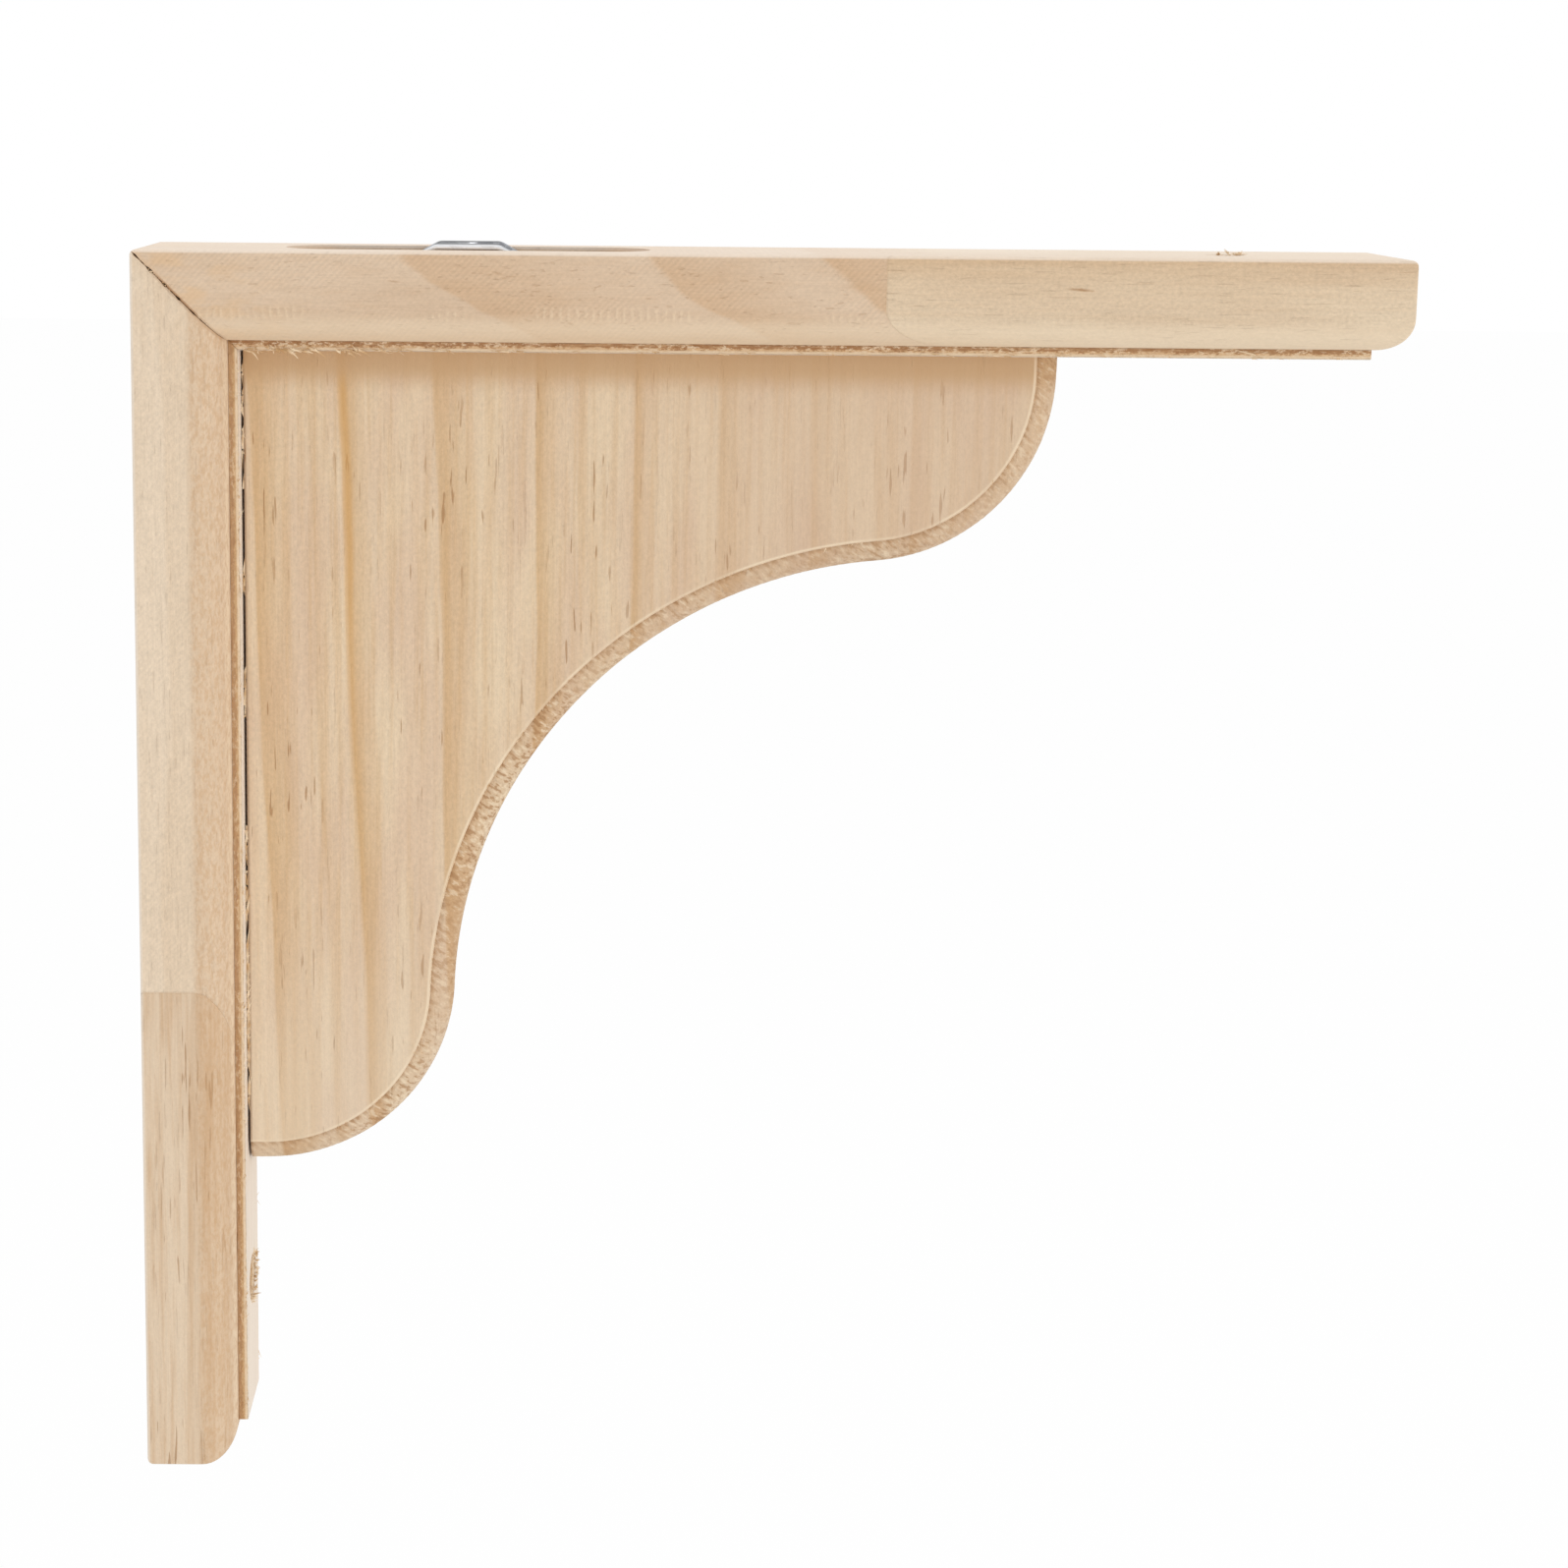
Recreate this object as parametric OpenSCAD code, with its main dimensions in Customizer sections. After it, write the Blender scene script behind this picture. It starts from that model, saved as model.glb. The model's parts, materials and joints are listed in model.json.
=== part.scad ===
// Wooden corbel bracket.
// Two equal routed arms meet in a mitre at the top corner, with a thin panel (the web) between them
// and a keyhole hanger plate let into the outer face of the horizontal arm.
// Lengths are in millimetres. X runs away from the wall, Z up, Y across the arms.
// The origin is at the middle of the wall leg's outer face.

/* [Arms] */
// Length of the shelf arm along its outer face
arm_l = 200; // [160:5:300]
// Height of the wall leg along its outer face
leg_h = 200; // [160:5:300]
// Width of both arms across the bracket
arm_w = 27; // [22:1:40]
// Thickness of both arms from outer face to inner face
arm_t = 16; // [13:0.5:24]
// Radius of the routed quarter round
round_r = 6; // [3:0.5:7]
// Radius of the routed round at the free ends
end_r = 5; // [3:0.5:7]
// Height of the raised inner face above the quarter round
step_h = 1.6; // [0.8:0.2:3]
// Rounding of the outer arrises at the corner and the free ends
arris_r = 1; // [0.5:0.1:2]

/* [Web] */
// Thickness of the web
web_t = 9; // [7:0.5:12]
// Bare length of the shelf arm beyond the web
bare_arm = 53.5; // [46:1:70]
// Bare length of the wall leg below the web
bare_leg = 48.5; // [46:1:70]
// Radius of the two convex lobes
lobe_r = 31; // [18:1:36]
// Straight edge between each arm and its lobe
lobe_straight = 3; // [2:0.5:10]
// Sweep of the concave middle of the edge, in degrees
hollow_sweep = 83; // [60:1:100]
// Drop from the web's face to its routed round
web_step = 0.5; // [0.3:0.1:1]
// Width of the flat left between the web's two routed rounds
web_land = 0.4; // [0.2:0.1:2]
// Open joint between the web and the wall leg
leg_gap = 0.4; // [0:0.1:0.8]

/* [Screw holes] */
// Clearance hole for the fixing screw
hole_d = 5; // [4:0.5:6]
// Mouth of the countersink on the inner face
sink_d = 8; // [7:0.5:11]
// Distance from each free end to its screw hole
hole_inset = 27; // [20:1:35]

/* [Hanger recess] */
// Distance from the outer corner to the near end of the recess
recess_start = 23; // [18:1:40]
// Clear length of the recess past each end of the plate
recess_end_gap = 6; // [3:0.5:10]
// Clearance between the plate's long edges and the recess
recess_side_gap = 0.5; // [0.25:0.25:1.5]
// Sink of the plate's screw heads below the arm's outer face
head_sink = 0.7; // [0.2:0.1:1]
// Depth of the screw head pocket below the recess floor
pocket_depth = 5; // [4:0.5:8]
// Clearance all round the screw head pocket
pocket_margin = 1; // [0.5:0.25:1.5]

/* [Hanger plate] */
// Length of the plate
plate_l = 46; // [38:1:56]
// Width of the plate
plate_w = 13; // [11:0.5:16]
// Thickness of the sheet
plate_t = 0.8; // [0.6:0.1:1]
// Corner radius of the plate
plate_corner_r = 4; // [2:0.5:5]
// Length of the raised bridge where it leaves the feet
bridge_foot_l = 17; // [15:0.5:20]
// Length of the raised bridge along its top
bridge_top_l = 10; // [8:0.5:12]
// Rise of the bridge above the feet
bridge_rise = 1.9; // [1.4:0.1:2.6]
// Diameter of the keyhole's round end
key_head_d = 8; // [7:0.5:9]
// Width of the keyhole's slot
key_slot_w = 4; // [3:0.5:5]
// Travel from the round end to the end of the slot
key_travel = 6; // [4:0.5:7]

/* [Plate screws] */
// Distance from each end of the plate to its screw
screw_inset = 6; // [4:0.5:7]
// Diameter of the screw shank
shank_d = 2.6; // [2:0.1:3]
// Length of the screw below its head
shank_l = 10; // [8:1:11]
// Diameter of the screw head
head_d = 5; // [4:0.5:6]
// Height of the screw head
head_h = 0.3; // [0.3:0.1:0.8]
// Clearance between the shank and its holes, on the radius
shank_clearance = 0.05; // [0.05:0.05:0.2]

/* [Hidden] */
$fn = 96;
// Overrun of every cutter past the face it opens through
cut = 1;
// Facets along each lobe, along the hollow and round the routed edge
lobe_steps = 18;
hollow_steps = 36;
round_steps = 5;
arm_top_z = leg_h / 2;
half_w = arm_w / 2;
inner_half_w = half_w - round_r;
shoulder_t = arm_t - step_h;
round_t = shoulder_t - round_r;
end_round_t = shoulder_t - end_r;
half_web = web_t / 2;
web_round = half_web - web_step - web_land / 2;
web_reach_arm = arm_l - bare_arm;
web_reach_leg = leg_h - bare_leg;
recess_l = plate_l + 2 * recess_end_gap;
recess_w = plate_w + 2 * recess_side_gap;
recess_depth = plate_t + head_h + head_sink;
hanger_x = recess_start + recess_l / 2;
screw_x = plate_l / 2 - screw_inset;
recess_floor = -recess_depth;
key_x = key_travel / 2;
screw_seat = recess_floor + plate_t;
// Centres of the arcs of the web's edge, with the outer corner at zero and Y upwards
arm_lobe = [web_reach_arm - lobe_r, -(arm_t + lobe_straight)];
leg_lobe = [arm_t + lobe_straight, -(web_reach_leg - lobe_r)];
centre_distance = norm(leg_lobe - arm_lobe) / 2 / sin(hollow_sweep / 2);
hollow_r = centre_distance - lobe_r;
hollow = meeting_point(arm_lobe, leg_lobe, centre_distance);
arm_lobe_end = heading(hollow - arm_lobe);
leg_lobe_start = heading(hollow - leg_lobe);

pine = [0.86, 0.77, 0.65];
pine_web = [0.83, 0.73, 0.59];
zinc = [0.78, 0.78, 0.79];

// Direction of a flat vector in degrees
function heading(v) = atan2(v[1], v[0]);

// Point at distance d from both a and b, on the side away from the outer corner
function meeting_point(a, b, d) =
    let(chord = b - a, half = norm(chord) / 2, side = [-chord[1], chord[0]] / norm(chord))
    (a + b) / 2 + side * sqrt(d * d - half * half);

// Cross-section of an arm: X is depth below the outer face, Y runs across the width
module arm_section() {
    translate([0, -half_w]) square([round_t, arm_w]);
    translate([0, -inner_half_w]) square([arm_t, 2 * inner_half_w]);
    for (side = [-1, 1]) translate([round_t, side * inner_half_w]) circle(r = round_r);
}

// Side outline of an arm: X runs along the outer face from the mitred corner, Y is minus the depth
module arm_outline(len) {
    intersection() {
        polygon([[0, 0], [len, 0], [len, -arm_t], [arm_t, -arm_t]]);
        union() {
            translate([arris_r, -arris_r]) circle(r = arris_r);
            translate([len - arris_r, -arris_r]) circle(r = arris_r);
            translate([arris_r, -arm_t]) square([len - 2 * arris_r, arm_t]);
            translate([0, -arm_t]) square([len, arm_t - arris_r]);
        }
    }
}

// What the router leaves at the free end: a quarter round, with the raised inner face set back from it
module end_outline(len) {
    translate([0, -end_round_t]) square([len, end_round_t]);
    translate([0, -arm_t]) square([len - end_r, arm_t]);
    translate([len - end_r, -end_round_t]) circle(r = end_r);
}

// One arm lying along X with its outer face at Z = 0 and the mitre at the origin
module arm_blank(len) {
    intersection() {
        translate([0, half_w, 0]) rotate([90, 0, 0]) linear_extrude(arm_w)
            intersection() { arm_outline(len); end_outline(len); }
        rotate([0, 90, 0]) linear_extrude(len) arm_section();
    }
}

// Clearance hole with its countersink on the inner face
module fixing_hole(len) {
    sink_h = (sink_d - hole_d) / 2;
    translate([len - hole_inset, 0, -arm_t - cut]) cylinder(d = hole_d, h = arm_t + 2 * cut);
    translate([len - hole_inset, 0, -arm_t]) cylinder(d1 = sink_d, d2 = hole_d, h = sink_h);
    translate([len - hole_inset, 0, -arm_t - cut]) cylinder(d = sink_d, h = cut);
}

// Round-ended slot centred on the origin, cut down from Z = 0
module slot(len, width, depth) {
    for (end = [-1, 1]) translate([end * (len - width) / 2, 0, -depth]) cylinder(d = width, h = depth + cut);
    translate([-(len - width) / 2, -width / 2, -depth]) cube([len - width, width, depth + cut]);
}

// Recess for the hanger plate, the screw head pocket below it and the two pilot holes
module hanger_cuts() {
    pocket_w = key_head_d + 2 * pocket_margin;
    slot(recess_l, recess_w, recess_depth);
    translate([0, 0, recess_floor]) slot(pocket_w + key_travel, pocket_w, pocket_depth);
    for (end = [-1, 1]) translate([end * screw_x, 0, screw_seat - shank_l - cut])
        cylinder(r = shank_d / 2 + shank_clearance, h = shank_l + cut);
}

module shelf_arm() {
    color(pine) translate([0, 0, arm_top_z]) difference() {
        arm_blank(arm_l);
        fixing_hole(arm_l);
        translate([hanger_x, 0, 0]) hanger_cuts();
    }
}

module wall_leg() {
    color(pine) translate([0, 0, arm_top_z]) mirror([1, 0, 1]) difference() {
        arm_blank(leg_h);
        fixing_hole(leg_h);
    }
}

// Points of an arc with the direction into the wood at each, which is -1 towards the centre and 1 away from it
function edge_arc(centre, r, from, to, into, steps) = [
    for (i = [0:steps])
        let(a = from + (to - from) * i / steps, out = [cos(a), sin(a)])
        [centre + r * out, into * out]
];

// All of a list but its first entry
function tail(list) = [for (i = [1:len(list) - 1]) list[i]];

// Free edge of the web, from the shelf arm round to the wall leg
free_edge = concat(
    [[[web_reach_arm, -arm_t], [-1, 0]]],
    edge_arc(arm_lobe, lobe_r, 0, arm_lobe_end, -1, lobe_steps),
    tail(edge_arc(hollow, hollow_r, arm_lobe_end + 180, leg_lobe_start + 180, 1, hollow_steps)),
    tail(edge_arc(leg_lobe, lobe_r, leg_lobe_start, -90, -1, lobe_steps)),
    [[[arm_t + leg_gap, -web_reach_leg], [0, 1]]]
);

// Section of the routed edge on the front half, from the face to mid-thickness: inset and height
half_section = concat(
    [[web_round, half_web]],
    [for (i = [0:round_steps]) let(a = 90 * i / round_steps)
        [web_round * (1 - sin(a)), web_land / 2 + web_round * cos(a)]]
);
section_count = len(half_section);
edge_section = concat(
    half_section,
    [for (i = [section_count - 1:-1:0]) [half_section[i][0], -half_section[i][1]]]
);

// The web as one solid: rows of points follow the section, columns follow the free edge
module web_panel() {
    rows = len(edge_section);
    cols = len(free_edge);
    corner = [arm_t + leg_gap, -arm_t];
    skin = [for (row = edge_section, place = free_edge)
        let(flat = place[0] + place[1] * row[0]) [flat[0], flat[1], row[1]]];
    corner_front = rows * cols;
    corner_back = corner_front + 1;
    points = concat(skin, [[corner[0], corner[1], half_web], [corner[0], corner[1], -half_web]]);
    edge_faces = [for (j = [0:rows - 2], i = [0:cols - 2])
        [j * cols + i, j * cols + i + 1, (j + 1) * cols + i + 1, (j + 1) * cols + i]];
    front_face = concat([corner_front], [for (i = [cols - 1:-1:0]) i]);
    back_face = concat([corner_back], [for (i = [0:cols - 1]) (rows - 1) * cols + i]);
    arm_face = concat([corner_back, corner_front], [for (j = [0:rows - 1]) j * cols]);
    leg_face = concat([corner_front, corner_back], [for (j = [rows - 1:-1:0]) j * cols + cols - 1]);
    color(pine_web) translate([0, 0, arm_top_z]) rotate([90, 0, 0])
        polyhedron(points, concat(edge_faces, [front_face, back_face, arm_face, leg_face]));
}

// Side view of the bent sheet, with the underside of its feet at zero
module plate_bend() {
    foot = bridge_foot_l / 2;
    top = bridge_top_l / 2;
    end = plate_l / 2;
    polygon([[-end, 0], [-foot, 0], [-top, bridge_rise], [top, bridge_rise], [foot, 0], [end, 0],
        [end, plate_t], [foot, plate_t], [top, bridge_rise + plate_t], [-top, bridge_rise + plate_t],
        [-foot, plate_t], [-end, plate_t]]);
}

// Plan of the sheet with its rounded corners
module plate_plan() {
    x = plate_l / 2 - plate_corner_r;
    y = plate_w / 2 - plate_corner_r;
    for (sx = [-1, 1], sy = [-1, 1]) translate([sx * x, sy * y]) circle(r = plate_corner_r);
    square([plate_l, 2 * y], center = true);
    square([2 * x, plate_w], center = true);
}

// The keyhole: its round end is towards the free end, its slot towards the corner
module keyhole() {
    tall = bridge_rise + plate_t + 2 * cut;
    translate([key_x, 0, -cut]) cylinder(d = key_head_d, h = tall);
    translate([-key_x, 0, -cut]) cylinder(d = key_slot_w, h = tall);
    translate([-key_x, -key_slot_w / 2, -cut]) cube([key_travel, key_slot_w, tall]);
}

module hanger_plate() {
    color(zinc) translate([hanger_x, 0, arm_top_z + recess_floor]) difference() {
        intersection() {
            translate([0, plate_w / 2, 0]) rotate([90, 0, 0]) linear_extrude(plate_w) plate_bend();
            linear_extrude(bridge_rise + plate_t) plate_plan();
        }
        keyhole();
        for (end = [-1, 1]) translate([end * screw_x, 0, -cut])
            cylinder(r = shank_d / 2 + shank_clearance, h = plate_t + 2 * cut);
    }
}

// Low-headed screw through one foot of the plate
module plate_screw(end) {
    color(zinc) translate([hanger_x + end * screw_x, 0, arm_top_z + screw_seat]) {
        cylinder(d = head_d, h = head_h);
        translate([0, 0, -shank_l]) cylinder(d = shank_d, h = shank_l + head_h / 2);
    }
}

module plate_screw_a() { plate_screw(-1); }
module plate_screw_b() { plate_screw(1); }

shelf_arm();
wall_leg();
web_panel();
hanger_plate();
plate_screw_a();
plate_screw_b();
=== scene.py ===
"""Looks of a plain pine corbel bracket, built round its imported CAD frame.

Two routed pine arms meet in a mitre, a thin web with a routed S-shaped edge fills the corner, and a zinc
keyhole plate is screwed into the upper arm. Sizes held by the classes are in millimetres; every mesh is in
metres in the frame's axes: X away from the wall, Z up, Y across the arms.
"""

import json
import logging
import math
from collections.abc import Sequence
from dataclasses import dataclass
from enum import Enum

import bmesh
import bpy
import numpy as np
from mathutils import Matrix, Vector

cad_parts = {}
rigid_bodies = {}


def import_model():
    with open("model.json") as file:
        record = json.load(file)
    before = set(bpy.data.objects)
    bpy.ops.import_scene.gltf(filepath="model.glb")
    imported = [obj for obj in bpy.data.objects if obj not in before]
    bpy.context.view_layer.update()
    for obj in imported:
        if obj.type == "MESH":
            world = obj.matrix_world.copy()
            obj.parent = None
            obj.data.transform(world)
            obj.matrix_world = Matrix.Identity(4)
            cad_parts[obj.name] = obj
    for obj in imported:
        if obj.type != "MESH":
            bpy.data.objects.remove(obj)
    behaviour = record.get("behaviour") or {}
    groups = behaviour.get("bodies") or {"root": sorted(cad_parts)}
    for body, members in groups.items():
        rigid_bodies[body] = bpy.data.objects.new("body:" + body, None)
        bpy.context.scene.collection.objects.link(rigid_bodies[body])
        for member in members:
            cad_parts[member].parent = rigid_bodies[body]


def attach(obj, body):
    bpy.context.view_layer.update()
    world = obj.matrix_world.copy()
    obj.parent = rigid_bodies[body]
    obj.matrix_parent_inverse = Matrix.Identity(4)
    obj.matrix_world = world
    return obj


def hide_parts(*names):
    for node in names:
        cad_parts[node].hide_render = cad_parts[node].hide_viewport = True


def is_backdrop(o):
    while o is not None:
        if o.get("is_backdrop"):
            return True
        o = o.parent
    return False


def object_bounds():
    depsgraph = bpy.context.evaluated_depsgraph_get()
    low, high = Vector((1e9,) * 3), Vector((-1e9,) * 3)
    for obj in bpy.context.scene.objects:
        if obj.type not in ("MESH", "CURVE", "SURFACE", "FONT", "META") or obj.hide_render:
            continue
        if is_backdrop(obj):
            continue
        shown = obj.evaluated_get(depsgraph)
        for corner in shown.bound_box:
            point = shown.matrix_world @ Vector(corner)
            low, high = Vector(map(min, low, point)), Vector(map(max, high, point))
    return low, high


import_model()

LOG = logging.getLogger("corbel_bracket")
MM = 0.001
BODY = "root"
SHARP_ANGLE = math.radians(32)
DARK_KNEE = 0.04045
RAGGED_RIM = (-0.3, 1.0)
ALONG_X = (1, 0, 0)
UPRIGHT = (0, 0, 1)

Socket = bpy.types.NodeSocket
Colour = tuple[float, float, float]
Point = tuple[float, float, float]
Range = tuple[float, float]
Band = tuple[float, float, float]
Rise = tuple[float, float, float, float]
Input = float | tuple | Socket | bpy.types.ID


class Slot(Enum):
    """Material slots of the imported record."""

    PINE = "pine"
    WEB = "pine_web"
    ZINC = "zinc"


class Place(Enum):
    """Where a routed arm sits in the bracket, by its CAD node."""

    SHELF = "shelf_arm"
    WALL = "wall_leg"


def srgb(red: int, green: int, blue: int) -> Colour:
    """Linear colour of a screen colour given in the range 0 to 255."""
    shares = (level / 255 for level in (red, green, blue))
    return tuple(share / 12.92 if share <= DARK_KNEE else ((share + 0.055) / 1.055) ** 2.4 for share in shares)


@dataclass(frozen=True)
class Pattern:
    """A noise pattern, and the part of it that shows.

    Its size is that of a feature in millimetres, detail counts the finer layers and rough is their strength.
    Noise from low to high reads as to_low to to_high.
    """

    size: Point
    detail: float = 2.0
    seed: float = 0.0
    rough: float = 0.5
    low: float = 0.0
    high: float = 1.0
    to_low: float = 0.0
    to_high: float = 1.0


class Graph:
    """Adds nodes to a shader or geometry tree and joins them."""

    MIX_A = 6
    MIX_B = 7
    MIX_RESULT = 2
    SEED_SHIFT = (1.0, 1.7, 0.6)

    def __init__(self, tree: bpy.types.NodeTree) -> None:
        """Works on the given tree."""
        self.tree = tree

    def put(self, socket: Socket, value: Input) -> None:
        """Links an input to another socket, or sets its value.

        Args:
            socket: the input.
            value: the other socket, or the value.
        """
        if isinstance(value, bpy.types.NodeSocket):
            self.tree.links.new(value, socket)
        else:
            socket.default_value = value

    def node(self, kind: str, inputs: dict | None = None, **settings: object) -> bpy.types.Node:
        """Adds one node.

        Args:
            kind: Blender's name for the node type.
            inputs: values or sockets by input name or index.
            settings: properties of the node.

        Returns:
            The new node.
        """
        node = self.tree.nodes.new(kind)
        for key, value in settings.items():
            setattr(node, key, value)
        for key, value in (inputs or {}).items():
            self.put(node.inputs[key], value)
        return node

    def math(self, operation: str, *values: Input, clamp: bool = False) -> Socket:
        """Adds a math node and gives its result."""
        node = self.node("ShaderNodeMath", dict(enumerate(values)), operation=operation, use_clamp=clamp)
        return node.outputs[0]

    def times(self, first: Input, second: Input) -> Socket:
        """The product of two numbers."""
        return self.math("MULTIPLY", first, second)

    def plus(self, first: Input, second: Input) -> Socket:
        """The sum of two numbers."""
        return self.math("ADD", first, second)

    def less(self, first: Input, second: Input) -> Socket:
        """The first number less the second."""
        return self.math("SUBTRACT", first, second)

    def fused(self, first: Input, second: Input, third: Input) -> Socket:
        """The product of two numbers, added to a third."""
        return self.math("MULTIPLY_ADD", first, second, third)

    def vector(self, operation: str, *values: Input, scale: Input | None = None) -> Socket:
        """Adds a vector math node.

        Args:
            operation: Blender's name for the operation.
            values: vectors in order.
            scale: the factor, for an operation that takes one.

        Returns:
            The vector, or the number of a dot product.
        """
        node = self.node("ShaderNodeVectorMath", dict(enumerate(values)), operation=operation)
        if scale is not None:
            self.put(node.inputs["Scale"], scale)
        return node.outputs["Value" if operation == "DOT_PRODUCT" else "Vector"]

    def split(self, vector: Socket) -> tuple[Socket, Socket, Socket]:
        """The three parts of a vector."""
        outputs = self.node("ShaderNodeSeparateXYZ", {0: vector}).outputs
        return outputs[0], outputs[1], outputs[2]

    def join(self, x: Input = 0.0, y: Input = 0.0, z: Input = 0.0) -> Socket:
        """A vector from its three parts."""
        return self.node("ShaderNodeCombineXYZ", {0: x, 1: y, 2: z}).outputs[0]

    def noise(self, vector: Socket, pattern: Pattern, seed: float = 0.0) -> Socket:
        """Plain noise of about 0 to 1.

        Args:
            vector: the place, in the units of the pattern's size.
            pattern: the noise wanted.
            seed: moves the pattern on.

        Returns:
            The noise value.
        """
        shrink = tuple(1 / size for size in pattern.size)
        shift = tuple((seed + pattern.seed) * part for part in self.SEED_SHIFT)
        place = self.vector("MULTIPLY_ADD", vector, shrink, shift)
        return self.node("ShaderNodeTexNoise", {"Vector": place, "Scale": 1.0, "Detail": pattern.detail,
                                                "Roughness": pattern.rough}).outputs[0]

    def patch(self, vector: Socket, pattern: Pattern, seed: float = 0.0) -> Socket:
        """The part of a pattern's noise that shows."""
        noise = self.noise(vector, pattern, seed)
        return self.span(noise, pattern.low, pattern.high, pattern.to_low, pattern.to_high)

    def span(self, value: Socket, low: float, high: float, to_low: float = 0.0,
             to_high: float = 1.0) -> Socket:
        """Value taken smoothly from low to high into to_low to to_high, and held at its ends."""
        inputs = {"Value": value, "From Min": low, "From Max": high, "To Min": to_low, "To Max": to_high}
        return self.node("ShaderNodeMapRange", inputs, interpolation_type="SMOOTHSTEP").outputs["Result"]

    def fade(self, value: Socket, low: float, high: float) -> Socket:
        """1 below a range and 0 above it."""
        return self.span(value, low, high, 1.0, 0.0)

    def band(self, value: Socket, low: float, high: float, soft: float) -> Socket:
        """1 between two values and 0 outside, where each end fades over twice the soft width."""
        rise = self.span(value, low - soft, low + soft)
        return self.times(rise, self.fade(value, high - soft, high + soft))

    def ramp(self, value: Socket, stops: Sequence[Range]) -> Socket:
        """A curve of straight pieces.

        Args:
            value: place from 0 to 1.
            stops: (place, level) pairs in order.

        Returns:
            The level.
        """
        node = self.node("ShaderNodeValToRGB", {0: value})
        elements = node.color_ramp.elements
        while len(elements) > 1:
            elements.remove(elements[-1])
        elements[0].position, elements[0].color = stops[0][0], (stops[0][1],) * 3 + (1,)
        for place, level in stops[1:]:
            elements.new(place).color = (level, level, level, 1)
        return self.node("ShaderNodeSeparateColor", {0: node.outputs[0]}).outputs[0]

    def blend(self, share: Input, first: Input, second: Input) -> Socket:
        """Colour between two colours.

        Args:
            share: 0 for the first colour to 1 for the second.
            first: a colour or its socket.
            second: a colour or its socket.

        Returns:
            The mixed colour.
        """
        node = self.node("ShaderNodeMix", data_type="RGBA", clamp_factor=True)
        self.put(node.inputs[0], share)
        for index, value in ((self.MIX_A, first), (self.MIX_B, second)):
            colour = value if isinstance(value, bpy.types.NodeSocket) else (*value[:3], 1.0)
            self.put(node.inputs[index], colour)
        return node.outputs[self.MIX_RESULT]

    def total(self, *parts: tuple[float, Socket]) -> Socket:
        """Sum of sockets, each times its weight.

        Args:
            parts: (weight, socket) pairs.

        Returns:
            The sum.
        """
        result: Input = 0.0
        for weight, socket in parts:
            result = self.fused(socket, weight, result)
        return result

    def object_place(self) -> Socket:
        """Place in the piece's own axes, which are the frame's, in metres."""
        return self.node("ShaderNodeTexCoord").outputs["Object"]


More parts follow.
